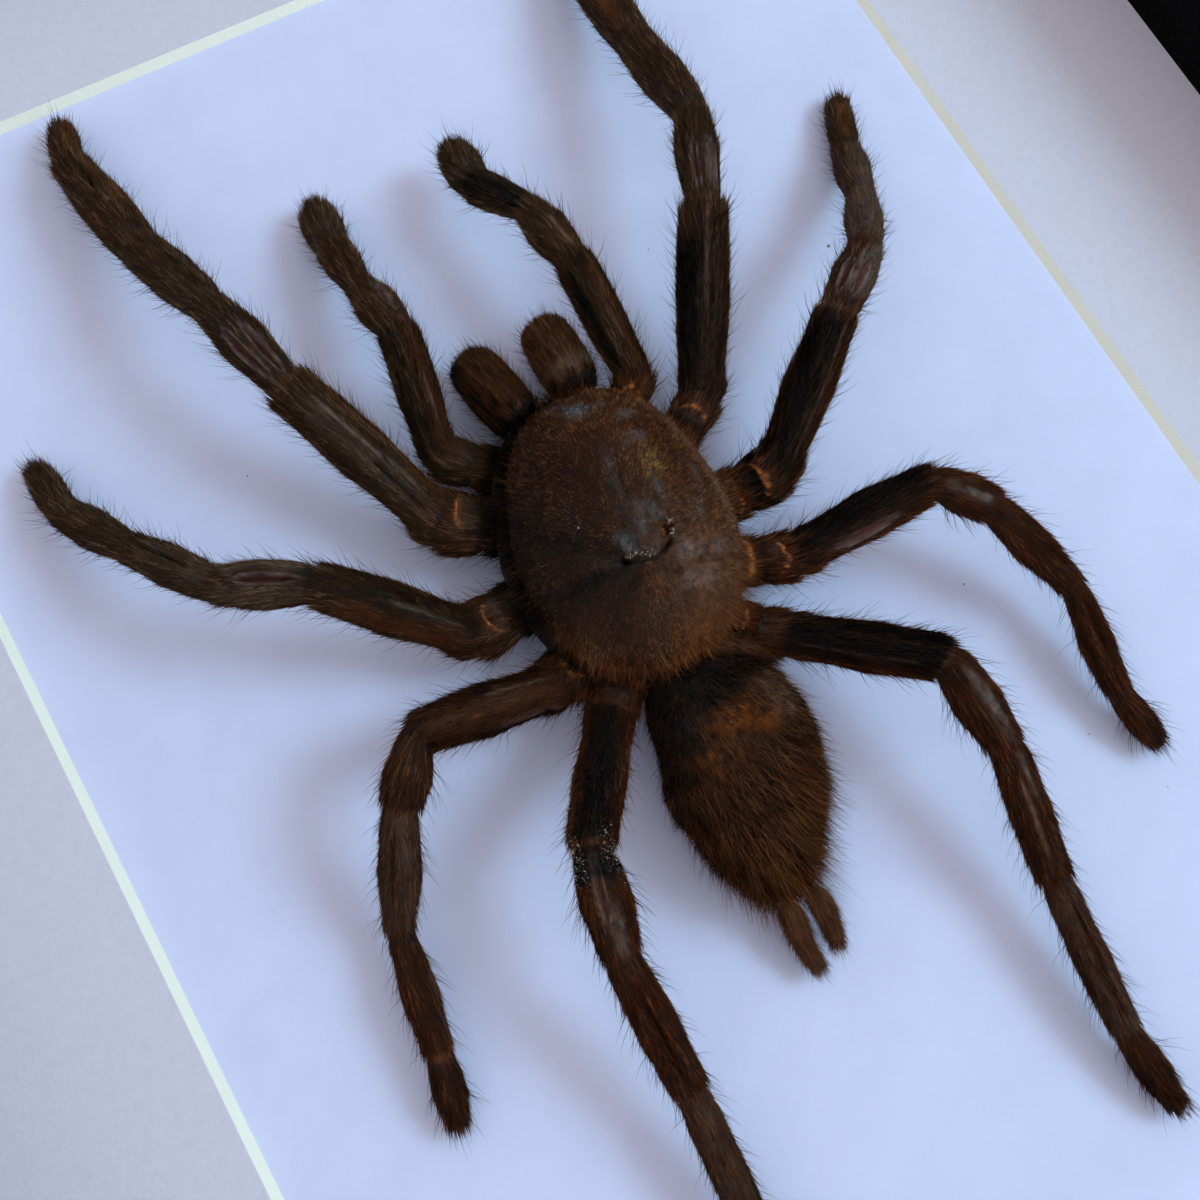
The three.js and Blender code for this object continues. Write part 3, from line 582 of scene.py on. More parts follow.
def coated_picture_glass():
    """Picture glass with an anti-reflection coat, so its surfaces hardly mirror. It throws no shade."""
    material, tree, shader = new_material("coated_picture_glass")
    shader_values(shader, Base_Color=(1, 1, 1, 1), Roughness=0.0, IOR=1.03, Transmission_Weight=1.0)
    clear = add(tree, "ShaderNodeBsdfTransparent")
    to_lamp = add(tree, "ShaderNodeLightPath").outputs["Is Shadow Ray"]
    both = add(tree, "ShaderNodeMixShader", {
        0: to_lamp, 1: shader.outputs["BSDF"], 2: clear.outputs["BSDF"],
    })
    output = next(n for n in tree.nodes if n.type == "OUTPUT_MATERIAL")
    tree.links.new(both.outputs[0], output.inputs["Surface"])
    return material


def marked(tree, colour, ember, pale, black):
    """The marks laid over a colour in turn, most on the hairs that are light themselves."""
    tone = layer_value(tree, "tone")
    lively = range_of(tree, tone, 0.05, 0.75, 0.35, 1.15)
    for layer, over in (("rust", ember), ("pale", pale)):
        colour = blend_colour(tree, sums(tree, "MULTIPLY", layer_value(tree, layer), lively), colour, over)
    colour = blend_colour(tree, layer_value(tree, "flesh"), colour, "#57211b")
    # The dark layer holds the hair's and skin's own dark colour and painted shade alike.
    dark_and_shade = sums(tree, "MULTIPLY", layer_value(tree, "dark"), range_of(tree, tone, 0.3, 0.9, 1.1, 0.72))
    return blend_colour(tree, dark_and_shade, colour, black)


def dried_cuticle(name, under_fur, bare):
    """Dried spider shell: dark under the pile, leathery and half glossy where the pile is gone."""
    material, tree, shader = new_material(name)
    grain = object_noise(tree, 0.5, 5)
    blotch = object_noise(tree, 1.6, 3)
    naked = layer_value(tree, "bare")
    skin = blend_colour(tree, range_of(tree, grain, 0.3, 0.7), bare[0], bare[1])
    colour = blend_colour(tree, naked, under_fur, skin)
    colour = marked(tree, colour, "#c06a22", "#b3a296", "#030101")
    mottled = blend_colour(tree, range_of(tree, blotch, 0.3, 0.7, 0, 0.45), colour, "#120a06")
    tree.links.new(mottled, shader.inputs["Base Color"])
    tree.links.new(range_of(tree, naked, 0, 1, 0.7, 0.42), shader.inputs["Roughness"])
    shader_values(shader, Specular_IOR_Level=0.25)
    relief(tree, shader, grain, 0.08)
    return material


def setae(name, cool, warm):
    """Spider hair: stiff keratin-like bristles with a soft gleam, each of its own tone."""
    material, tree, shader = new_material(name)
    tone = layer_value(tree, "tone")
    shades = []
    for dark_end, middle, light_end in (cool, warm):
        lower = blend_colour(tree, range_of(tree, tone, 0, 0.5), dark_end, middle)
        shades.append(blend_colour(tree, range_of(tree, tone, 0.55, 1), lower, light_end))
    colour = blend_colour(tree, layer_value(tree, "russet"), shades[0], shades[1])
    colour = blend_colour(tree, layer_value(tree, "gold"), colour, "#c18a45")
    colour = marked(tree, colour, "#7c3a12", "#94826f", "#030101")
    tree.links.new(colour, shader.inputs["Base Color"])
    shader_values(shader, Roughness=0.6, IOR=1.5, Specular_IOR_Level=0.03)
    return material


def eye_lens():
    """A spider's dried eye: a small glassy bead, dark blue-grey."""
    material, tree, shader = new_material("eye_lens")
    cloud = object_noise(tree, 0.6, 2)
    colour = blend_colour(tree, cloud, "#0d0f12", "#3c4248")
    tree.links.new(colour, shader.inputs["Base Color"])
    shader_values(shader, Roughness=0.14, IOR=1.5)
    return material


def torn_membrane():
    """Torn dry cuticle seen edge on: off-white and grey, thin and brittle."""
    material, tree, shader = new_material("torn_membrane")
    cloud = object_noise(tree, 0.5, 3)
    colour = blend_colour(tree, range_of(tree, cloud, 0.35, 0.65), "#7d7466", "#c9c2b4")
    tree.links.new(colour, shader.inputs["Base Color"])
    shader_values(shader, Roughness=0.55)
    return material


def dust_and_fibre():
    """Dust and shed hair: dull brown-grey."""
    material, tree, shader = new_material("dust_and_fibre")
    cloud = object_noise(tree, 1.0, 2)
    colour = blend_colour(tree, cloud, "#4e453f", "#8d8782")
    tree.links.new(colour, shader.inputs["Base Color"])
    shader_values(shader, Roughness=0.8)
    return material


def studio_floor():
    """A plain pale floor with the faint unevenness of painted board."""
    material, tree, shader = new_material("painted_floor")
    cloud = object_noise(tree, 60, 3)
    colour = blend_colour(tree, cloud, "#d9dade", "#e0e1e5")
    tree.links.new(colour, shader.inputs["Base Color"])
    shader_values(shader, Roughness=0.7)
    return material


# ---- The coat of hairs ----
COAT_INPUTS = (
    ("Hairs", "NodeSocketFloat"), ("Length", "NodeSocketFloat"), ("Width", "NodeSocketFloat"),
    ("Segments", "NodeSocketInt"), ("Lift", "NodeSocketFloat"), ("Bend", "NodeSocketFloat"),
    ("Tuft", "NodeSocketFloat"), ("Frizz", "NodeSocketFloat"), ("Spread", "NodeSocketFloat"),
    ("Tone", "NodeSocketFloat"), ("Where", "NodeSocketString"), ("Seed", "NodeSocketInt"),
    ("Material", "NodeSocketMaterial"),
)
TUFT_SIZE = 1.7  # mm across a clump that leans one way
STRAND_SIZE = 0.32  # mm across a lengthwise bundle of one tone
LANE_STRETCH = 8  # how much longer than wide a bundle is
SEED = 41


def coat_tree():
    """The node tree that grows tapering hairs on a skin, along its painted flow."""
    tree = bpy.data.node_groups.new("coat_of_setae", "GeometryNodeTree")
    tree.interface.new_socket("Geometry", in_out="INPUT", socket_type="NodeSocketGeometry")
    for name, kind in COAT_INPUTS:
        tree.interface.new_socket(name, in_out="INPUT", socket_type=kind)
    tree.interface.new_socket("Geometry", in_out="OUTPUT", socket_type="NodeSocketGeometry")
    given = add(tree, "NodeGroupInput").outputs

    def layer(name, kind="FLOAT"):
        node = add(tree, "GeometryNodeInputNamedAttribute", {"Name": name}, data_type=kind)
        return node.outputs["Attribute"]

    def share_of(value, part):
        return sums(tree, "MULTIPLY", value, part)

    def vectors(operation, a, b):
        return add(tree, "ShaderNodeVectorMath", {0: a, 1: b}, operation=operation).outputs[0]

    def scaled(vector, factor):
        node = add(tree, "ShaderNodeVectorMath", {0: vector, "Scale": factor}, operation="SCALE")
        return node.outputs[0]

    density = sums(tree, "MULTIPLY", given["Hairs"], layer(given["Where"]))
    spots = add(tree, "GeometryNodeDistributePointsOnFaces", {
        "Mesh": given["Geometry"], "Density": density, "Seed": given["Seed"],
    }, distribute_method="RANDOM")
    chance = add(tree, "FunctionNodeRandomValue", {2: 0.0, 3: 1.0, "Seed": given["Seed"]})
    lone = sums(tree, "POWER", chance.outputs[1], 2.0)
    strands = add(tree, "ShaderNodeTexNoise", {
        "Vector": layer("lane", "FLOAT_VECTOR"), "Scale": 1 / STRAND_SIZE, "Detail": 1.0,
    })
    strand = range_of(tree, strands.outputs["Fac"], 0.34, 0.66)
    mixed = sums(tree, "ADD", share_of(lone, 0.36), share_of(strand, 0.36))
    mixed = sums(tree, "ADD", mixed, share_of(layer("band"), 0.34))
    tone = sums(tree, "ADD", mixed, given["Tone"])
    toned = add(tree, "GeometryNodeStoreNamedAttribute", {
        "Geometry": spots.outputs["Points"], "Name": "tone", "Value": tone,
    }, data_type="FLOAT", domain="POINT")

    flow = layer("flow", "FLOAT_VECTOR")
    lying = scaled(flow, sums(tree, "COSINE", given["Lift"], 0.0))
    standing = scaled(spots.outputs["Normal"], sums(tree, "SINE", given["Lift"], 0.0))
    here = add(tree, "GeometryNodeInputPosition").outputs[0]
    clump = add(tree, "ShaderNodeTexNoise", {"Vector": here, "Scale": 1 / (TUFT_SIZE * MM)})
    tuft = scaled(vectors("SUBTRACT", clump.outputs["Color"], (0.5, 0.5, 0.5)), given["Tuft"])
    jitter = add(tree, "FunctionNodeRandomValue", {
        0: (-1, -1, -1), 1: (1, 1, 1), "Seed": sums(tree, "ADD", given["Seed"], 1),
    }, data_type="FLOAT_VECTOR")
    frizz = scaled(jitter.outputs[0], given["Frizz"])
    lean = vectors("ADD", vectors("ADD", lying, standing), vectors("ADD", tuft, frizz))
    upright = add(tree, "FunctionNodeAlignRotationToVector", {"Vector": lean}, axis="Z")
    turned = add(tree, "FunctionNodeAlignRotationToVector", {
        "Rotation": upright.outputs[0], "Vector": flow,
    }, axis="X", pivot_axis="Z")

    hair = add(tree, "GeometryNodeMeshCone", {
        "Vertices": 3, "Side Segments": given["Segments"], "Radius Top": 0.0,
        "Radius Bottom": sums(tree, "MULTIPLY", given["Width"], 0.5), "Depth": given["Length"],
    })
    along = add(tree, "ShaderNodeSeparateXYZ", {0: here}).outputs["Z"]
    droop = sums(tree, "MULTIPLY", sums(tree, "MULTIPLY", along, along),
                 sums(tree, "DIVIDE", given["Bend"], given["Length"]))
    offset = add(tree, "ShaderNodeCombineXYZ", {"X": droop})
    bent = add(tree, "GeometryNodeSetPosition", {
        "Geometry": hair.outputs["Mesh"], "Offset": offset.outputs[0],
    })

    longest = sums(tree, "ADD", 1.0, given["Spread"])
    shortest = sums(tree, "SUBTRACT", 1.0, given["Spread"])
    stretch = add(tree, "FunctionNodeRandomValue", {
        2: shortest, 3: longest, "Seed": sums(tree, "ADD", given["Seed"], 2),
    })
    reach = sums(tree, "MULTIPLY", stretch.outputs[1], layer("growth"))
    size = add(tree, "ShaderNodeCombineXYZ", {"X": 1.0, "Y": 1.0, "Z": reach})
    hairs = add(tree, "GeometryNodeInstanceOnPoints", {
        "Points": toned.outputs[0], "Instance": bent.outputs[0],
        "Rotation": turned.outputs[0], "Scale": size.outputs[0],
    })
    real = add(tree, "GeometryNodeRealizeInstances", {"Geometry": hairs.outputs[0]})
    coloured = add(tree, "GeometryNodeSetMaterial", {
        "Geometry": real.outputs[0], "Material": given["Material"],
    })
    add(tree, "NodeGroupOutput", {"Geometry": coloured.outputs[0]})
    return tree


def socket_of(tree, name):
    """The identifier of an input of the tree."""
    return next(s.identifier for s in tree.interface.items_tree
                if s.name == name and getattr(s, "in_out", "") == "INPUT")


def grow(skin, coats, hair_material):
    """The skin with its coats: each is hairs per mm2, length and width in mm, and how they lie."""
    tree = bpy.data.node_groups.get("coat_of_setae") or coat_tree()
    grown = [skin]
    for place, coat in enumerate(coats):
        carrier = place_object(f"{skin.name}_coat_{place}", skin.data)
        modifier = carrier.modifiers.new("coat", "NODES")
        modifier.node_group = tree
        values = {
            "Hairs": coat["per_mm2"] / MM ** 2, "Length": coat["length"] * MM,
            "Width": coat["width"] * MM, "Segments": coat["segments"],
            "Lift": math.radians(coat["lift"]), "Bend": coat["bend"], "Tuft": coat["tuft"],
            "Frizz": coat["frizz"], "Spread": coat["spread"], "Tone": coat["tone"],
            "Where": coat["where"], "Seed": SEED + 10 * place, "Material": hair_material,
        }
        for name, value in values.items():
            modifier[socket_of(tree, name)] = value
        depsgraph = bpy.context.evaluated_depsgraph_get()
        mesh = bpy.data.meshes.new_from_object(
            carrier.evaluated_get(depsgraph), preserve_all_data_layers=True, depsgraph=depsgraph)
        bpy.data.objects.remove(carrier)
        mesh.shade_smooth()
        grown.append(place_object(f"{skin.name}_hairs_{place}", mesh))
    piece = join(grown)
    for name in ("flow", "lane", "coat", "fringe", "ruff", "growth", "band"):
        layer = piece.data.attributes.get(name)
        if layer:
            piece.data.attributes.remove(layer)
    for slot in reversed(range(len(piece.data.materials))):
        if piece.data.materials[slot] is None:
            piece.data.materials.pop(index=slot)
    hold_between_boards(piece.data)
    return piece


def hold_between_boards(mesh):
    """Hairs that would reach into the card or the glass lie along it."""
    places = np.empty(3 * len(mesh.vertices), np.float32)
    mesh.vertices.foreach_get("co", places)
    lowest, highest = (CARD_TOP + CARD_GAP) * MM, (GLASS_UNDERSIDE - GLASS_GAP) * MM
    places[2::3] = np.clip(places[2::3], lowest, highest)
    mesh.vertices.foreach_set("co", places)
    mesh.update()


def furred(name, mesh, kind, coats, materials):
    """The mesh as a skin with its coats grown on it, both in this kind's materials."""
    mesh.materials.append(materials[f"{kind}_skin"])
    return grow(place_object(name, mesh), coats, materials[f"{kind}_hair"])


def coat(per_mm2, length, width, segments=1, lift=22, bend=0.0, tuft=0.4, frizz=0.22, spread=0.35,
         tone=0.0, where="coat"):
    """One coat of hairs, as grow() reads it; where names the painted layer that thins it."""
    return {"per_mm2": per_mm2, "length": length, "width": width, "segments": segments,
            "lift": lift, "bend": bend, "tuft": tuft, "frizz": frizz, "spread": spread,
            "tone": tone, "where": where}


def russet_at(points):
    """How red the spider's hair is: olive at the head's left, redder towards the tail and right."""
    slope = 0.25 * points[..., 0] - 0.9 * points[..., 1]
    return np.clip(ease(-38, 22, slope) + 0.25 * ripple(points, 6, 3), 0, 1)


def carapace_axes():
    """The carapace's middle on the card, and its right and its forward directions."""
    turn = math.radians(CARAPACE["heading"])
    ahead = np.array((math.sin(turn), math.cos(turn), 0))
    right = np.array((math.cos(turn), -math.sin(turn), 0))
    return np.array((CARAPACE["x"], CARAPACE["y"], 0)), right, ahead


def carapace_frame(points):
    """Across and forward of the carapace's middle, and 1 where that is on its outline's oval."""
    origin, right, ahead = carapace_axes()
    across, forward = (points - origin) @ right, (points - origin) @ ahead
    by_body = np.hypot(2 * across / CARAPACE["width"], 2 * forward / CARAPACE["length"])
    return across, forward, by_body


# ---- The limbs ----
def limb_corners(pair, root, hip, pose):
    """The limb's joints in order, and the radii at the stations of each podomere."""
    lengths, radii = LEG_PAIRS[pair]
    start = np.array((*root, COXA_HEIGHT))
    hip = np.array(hip, float)
    coxa_end = start + COXA_SHARE * (hip - start)
    coxa_end[2] = COXA_HEIGHT + COXA_RISE * (hip[2] - COXA_HEIGHT)
    corners = [start, coxa_end, hip]
    for length, (heading, pitch) in zip(lengths, pose):
        corners.append(corners[-1] + length * direction(heading, pitch))
    coxa = (COXA_RADIUS * COXA_TAPER, COXA_RADIUS, COXA_RADIUS)
    trochanter = (COXA_RADIUS, COXA_RADIUS * TROCHANTER_SWELL, COXA_RADIUS * TROCHANTER_SWELL)
    return np.array(corners), (coxa, trochanter, *radii)


def podomere_radius(share, length, radii, waist_in, waist_out, is_tip):
    """The radius along one podomere: a waist, a swelling, and a collar at its far end."""
    shoulder = min(SHOULDER["latest"], SHOULDER["at"] / length)
    collar = 1 - COLLAR["width"] / length
    shares = [0, shoulder, *GIRTH_STATIONS, collar, 1]
    values = [waist_in, SHOULDER["girth"] * radii[0], *radii, COLLAR["girth"] * radii[2], waist_out]
    if is_tip:
        shares, values = shares[:-2] + [1], values[:-2] + [radii[2]]
    radius = np.interp(share, shares, values)
    if is_tip:
        past = np.clip((share * length - (length - radii[2])) / radii[2], 0, 0.985)
        radius = radius * np.sqrt(1 - past ** 2)
    return radius


def limb_stations(corners, girths):
    """Every ring's middle, direction, radius, podomere number and share along it."""
    rows = []
    last = len(girths) - 1
    legs = corners[1:] - corners[:-1]
    sizes = np.linalg.norm(legs, axis=1)
    ways = legs / sizes[:, None]
    for k, radii in enumerate(girths):
        waist_in = JOINT_WAIST * min(girths[k - 1][2], radii[0]) if k else 0.75 * radii[0]
        waist_out = JOINT_WAIST * min(radii[2], girths[k + 1][0]) if k < last else radii[2]
        count = max(6, round(sizes[k] / RING_STEP))
        for share in np.arange(count + (k == last)) / count:
            travelled = share * sizes[k]
            middle, way = corners[k] + travelled * ways[k], ways[k]
            for joint, before, after, distance in (
                (k, k - 1, k, travelled), (k + 1, k, k + 1, travelled - sizes[k]),
            ):
                if before < 0 or after > last:
                    continue
                reach = min(CORNER, CORNER_SHARE * sizes[before], CORNER_SHARE * sizes[after])
                if abs(distance) >= reach:
                    continue
                u = (reach + distance) / (2 * reach)
                middle = ((1 - u) ** 2 * (corners[joint] - reach * ways[before])
                          + 2 * u * (1 - u) * corners[joint]
                          + u ** 2 * (corners[joint] + reach * ways[after]))
                way = (1 - u) * ways[before] + u * ways[after]
            radius = podomere_radius(share, sizes[k], radii, waist_in, waist_out, k == last)
            rows.append((middle, unit(way), radius, k, share))
    return [np.array(column) for column in zip(*rows)]


def mark_field(marks, names, podomere, share, radius, sides, points):
    """What the marks paint at each point of the limb's skin, and how deep they press it in."""
    shape = (len(share), sides)
    layers = {name: np.zeros(shape) for name in ("bare", "pale", "rust", "flesh", "dark")}
    depth, open_cuts = np.zeros(shape), np.zeros(shape)
    around = np.degrees(turns_of(sides))
    ragged = np.clip(0.85 + 0.9 * ripple(points, 0.8, 13), 0, 1)
    for where, kind, start, end, side, width in marks:
        look = MARK_KINDS[kind]
        here = (podomere == names.index(where)).astype(float)[:, None]
        soft = SHARP_END if side is RING or kind == "arc" else SOFT_END
        if side is RING:
            off, bow = np.zeros(shape), 0
        else:
            off = (around[None, :] - side + 180) % 360 - 180
            off = np.radians(off) * radius[:, None] + 0.25 * width * ripple(points, 2.2, 11)
            bow = look.get("bow", 0) * np.minimum((off / width) ** 2, 2) * 0.22
        place = share[:, None] + bow + 0.012 * ripple(points, 0.9, 14)
        window = ease(start - soft, start + soft, place) * (1 - ease(end - soft, end + soft, place))
        if "lip" in look:
            through = np.clip((place - start) / (end - start), 0, 1)
            narrowed = np.maximum(width * np.sqrt(np.sin(np.pi * through)), 0.05)
        else:
            narrowed = np.maximum(width * np.sqrt(window), 0.05)
        across = np.ones(shape) if side is RING else np.exp(-(off / narrowed) ** 4)
        whole = "lip" in look or kind in ("shade", "arc")
        strength = across * window * here * (1 if whole else ragged)
        for name in layers:
            layers[name] = np.maximum(layers[name], look.get(name, 0) * strength)
        depth += look.get("depth", 0) * strength
        if "lip" in look:
            lip = bell(np.abs(off) - LIP["place"] * narrowed, LIP["spread"] * width) * window * here
            depth -= look["lip"] * lip
            rim = lip * (look.get("flesh", 0) > 0)
            layers["pale"] = np.maximum(layers["pale"], LIP["pale"] * rim * ragged)
            layers["bare"] = np.maximum(layers["bare"], LIP["bare"] * rim)
            upstream = ease(start - 0.3, start, place) * (1 - ease(end, end + 0.1, place))
            open_cuts = np.maximum(open_cuts, bell(off, 2.6 * width) * upstream * here
                                   * (look.get("flesh", 0) > 0))
        if "wrinkle" in look:
            folds = np.sin(9 * ripple(points, 2.6, 5) + 2.5 * share[:, None])
            depth += look["wrinkle"] * folds * strength
            layers["pale"] *= 1 - 0.5 * strength * (folds > 0)
    return layers, depth, open_cuts


def limb_skin(name, seed):
    """The limb's skin with everything painted on it that its coat and material read."""
    pair = name.rsplit("_", 1)[0]
    names = LEG_PODOMERES if pair.startswith("leg") else PALP_PODOMERES
    corners, girths = limb_corners(pair, *LIMBS[name])
    middle, along, radius, podomere, share = limb_stations(corners, girths)
    sides = LIMB_SIDES
    full = rings_across(middle, along, radius[:, None], radius[:, None], sides)
    layers, depth, open_cuts = mark_field(
        MARKS[name], names, podomere, share, radius, sides, full)

    turn = turns_of(sides)
    travelled = np.cumsum(np.r_[0, np.linalg.norm(np.diff(middle, axis=0), axis=1)])
    barrel = unrolled(turn, FURROWS["barrel"], travelled[:, None] / FURROWS["stretch"])
    furrows = ripple(barrel, FURROWS["width"], seed)
    lumps = ripple(full, LUMPS["size"], seed + 1)
    shrunk = np.clip(radius - FUR_DEPTH, 0.3 * radius, None)[:, None]
    uneven = 1 + FURROWS["depth"] * furrows + LUMPS["depth"] * lumps
    inner = shrunk * uneven - np.minimum(depth, 0.75 * shrunk)
    hip_at = np.linalg.norm(np.diff(corners[:3], axis=0), axis=1).sum()
    at_root = ease(hip_at + 3.5, hip_at - 1, travelled)[:, None]
    broad = 1 + (ROOT_BREADTH[name] - 1) * at_root
    rings = rings_across(middle, along, inner * broad, inner, sides)

    flow = np.repeat(along[:, None, :], sides, 1)
    below = ease(-0.1, -0.8, np.cos(turn))[None, :] * np.ones((len(share), 1))
    coat_share = (1 - 0.94 * ease(0.25, 0.65, layers["bare"])) * (1 - 0.55 * below)
    near_body = ease(14, 2, travelled)[:, None] * np.ones((1, sides))
    across, _, by_body = carapace_frame(full)
    # Painted shade: the limb darkens where it passes under the carapace's edge and just beside the
    # carapace's left margin.
    shade_under_margin = ease(1.2, 1.06, by_body) * ease(-3, -8, across)
    layers["dark"] = np.maximum(layers["dark"], np.maximum(shade_under_margin, ease(0.98, 0.86, by_body)))
    growth = 0.8 + 0.35 * near_body + 0.2 * ripple(full, 5, seed + 2)
    layers.update(
        coat=coat_share, growth=growth * (1 - 0.72 * open_cuts),
        band=np.clip(0.5 + 0.75 * furrows, 0, 1), russet=russet_at(full),
        tone=np.full(coat_share.shape, 0.7),
    )
    lane = unrolled(turn, radius[:, None], travelled[:, None] / LANE_STRETCH)
    mesh = loft_mesh(name, rings, middle[0] - 0.4 * along[0], middle[-1] + 0.05 * along[-1])
    paint_rings(mesh, layers, {"flow": flow, "lane": lane})
    return mesh


def build_limb(name, seed, materials):
    """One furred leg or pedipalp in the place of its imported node."""
    fur = bpy.context.scene.specimen_fur
    share = fur.leg_cover if name.startswith("leg") else fur.leg_cover * 1.15
    coats = (
        coat(14 * share, fur.pile_length / MM, 0.09, lift=12, tuft=0.2, frizz=0.11),
        coat(1.1 * share, 1.6 * fur.pile_length / MM, 0.08, lift=20, tuft=0.3, frizz=0.2, tone=0.22),
        coat(1.3 * share, fur.bristle_length / MM, 0.07, 2, lift=42, bend=0.22, tuft=0.5, frizz=0.42,
             spread=0.5, tone=-0.15),
    )
    piece = furred(f"{name}_furred", limb_skin(name, seed), "leg", coats, materials)
    if name == GLUED_KNEE["limb"]:
        piece = join([piece, glue_crumbs(materials["membrane"])])
    stand_for(piece, (name,))


def glue_crumbs(material):
    """Dried glue on one knee: whitish crumbs strewn over the joint's top."""
    chance = np.random.default_rng(SEED)
    corners, _ = limb_corners("leg_4", *LIMBS[GLUED_KNEE["limb"]])
    at = LEG_PODOMERES.index("patella")
    knee, way = corners[at], unit(corners[at + 1] - corners[at])
    level = unit(np.cross(way, (0, 0, 1)))
    up = np.cross(level, way)
    count = GLUED_KNEE["crumbs"]
    turn = chance.choice(GLUE_SIDES, (count, 1)) + chance.normal(0, 0.22, (count, 1))
    along = chance.normal(0.5, GLUED_KNEE["spread"], (count, 1)) + 0.5 * np.abs(turn)
    out = GLUED_KNEE["radius"] * chance.uniform(0.9, 1.03, (count, 1))
    places = knee + along * way + out * (np.sin(turn) * level + np.cos(turn) * up)
    sizes = GLUE_SIZE["least"] + chance.exponential(GLUE_SIZE["typical"], (count, 3))
    return crumbs("knee_crumbs", places, sizes, material, 6)


# ---- The body ----
CARAPACE_SIDES = 132
CARAPACE_RINGS = 68
# From the sternum up to the carapace's edge: share of its outline, height, and widening at the left, where
# the flank, painted dark as shade, fills the strip below the left margin.
PROSOMA_FLANK = (
    (STERNUM_SHARE, BELLY_CLEARANCE, 0), (0.5, BELLY_CLEARANCE + 0.6, 0), (0.62, 2.6, 0.02),
    (0.8, 4.2, 0.06), (0.93, 5.6, 0.1), (0.97, 6.6, 0.13), (0.96, 7.3, 0.11),
    (0.94, 7.8, 0.03), (0.95, CARAPACE_UNDERSIDE, 0), (0.97, CARAPACE_UNDERSIDE + 0.1, 0),
    (0.99, CARAPACE_UNDERSIDE + 0.25, 0), (1, CARAPACE["margin"] - 0.1, 0),
)
# The groove across the middle: a sharp crease in a shallow valley.
CREASE = {"depth": 1.0, "width": 0.24, "valley_depth": 0.4, "valley_width": 1.0, "teeth": 16}
FOVEA_PATH = ((-1.4, -4.5), (0.1, -5.1), (1.8, -5.1), (2.8, -4.6), (3.9, -4.0))
CEPHALIC_GROOVES = (((0.2, -3.6), (0.4, 7.4)), ((2.4, -2.2), (5.2, 5.0)))
THORACIC_GROOVES = (
    ((-1.8, -4.0), (-9.4, 1.5)), ((-1.8, -5.2), (-9.6, -5.5)), ((-0.8, -6.0), (-6.2, -12.2)),
    ((3.6, -4.2), (10.4, 0.4)), ((3.4, -5.4), (9.8, -7.0)), ((2.0, -6.2), (4.6, -13.2)),
)
GROOVES = (
    {"lines": CEPHALIC_GROOVES, "depth": 0.5, "bare": 0.55},
    {"lines": THORACIC_GROOVES, "depth": 0.8, "bare": 0.15},
)
TORN_HOLE = {"across": 3.8, "forward": -2.7, "radius": 0.85, "depth": 1.5, "slivers": 9}
LOOSE_CRUMB = {"place": (-4.9, 0.1), "height": 0.3, "size": (0.14, 0.14, 0.14)}
# Across, forward and the two half widths of the golden pile and of the worn, rusty pile.
GOLD_PATCH = (5.0, 4.6, 1.1, 2.1)
RUSTY_PATCH = (6, -7, 5, 5.5)
# Where the pile is worn off: across, forward, the two half widths, and how bare it is.
WORN_PATCHES = (
    (-0.4, -2.9, 1.3, 1.2, 0.8), (1.5, -1.2, 1.0, 2.0, 0.6), (3.2, -0.8, 0.8, 1.7, 0.8),
    (4.6, 1.6, 0.5, 1.7, 0.75), (0.5, 4.4, 0.35, 3.6, 0.65), (5.4, -5.6, 2.4, 0.9, 0.75),
    (5.2, -8.6, 2.2, 1.3, 0.62), (8.8, -6.0, 1.5, 0.9, 0.68), (4.9, 8.1, 1.4, 0.6, 0.78),
    (4.7, 11.0, 1.3, 0.8, 0.8), (2.3, 13.2, 1.0, 0.7, 0.75), (-1.5, 14.3, 1.6, 0.7, 0.65),
    (3.2, 7.4, 0.5, 0.4, 0.7), (9.4, 2.5, 0.7, 1.2, 0.6), (-2.6, -4.6, 1.4, 0.7, 0.45),
    (8.2, -1.6, 0.5, 1.1, 0.55), (3.4, -3.9, 1.6, 0.7, 0.7),
)


def carapace_point(angle, share):
    """The carapace's outline at angles clockwise from the front, across and forward in mm."""
    power = np.where(np.cos(angle) > 0, 0.72, 0.88)
    forward = np.sign(np.cos(angle)) * np.abs(np.cos(angle)) ** power
    across = np.sign(np.sin(angle)) * np.abs(np.sin(angle)) ** power
    taper = 1 - 0.22 * np.maximum(0, forward)
    return np.stack([
        across * taper * share * CARAPACE["width"] / 2, forward * share * CARAPACE["length"] / 2,
    ], -1)


def distance_to_line(x, y, a, b):
    """How far points are from the line from a to b, and their share of the way along it."""
    dx, dy = b[0] - a[0], b[1] - a[1]
    way = np.clip(((x - a[0]) * dx + (y - a[1]) * dy) / (dx * dx + dy * dy), 0, 1)
    return np.hypot(x - a[0] - way * dx, y - a[1] - way * dy), way


def path_distance(x, y, path):
    """The least distance to a path of straight stretches."""
    return np.min([distance_to_line(x, y, a, b)[0] for a, b in zip(path, path[1:])], axis=0)


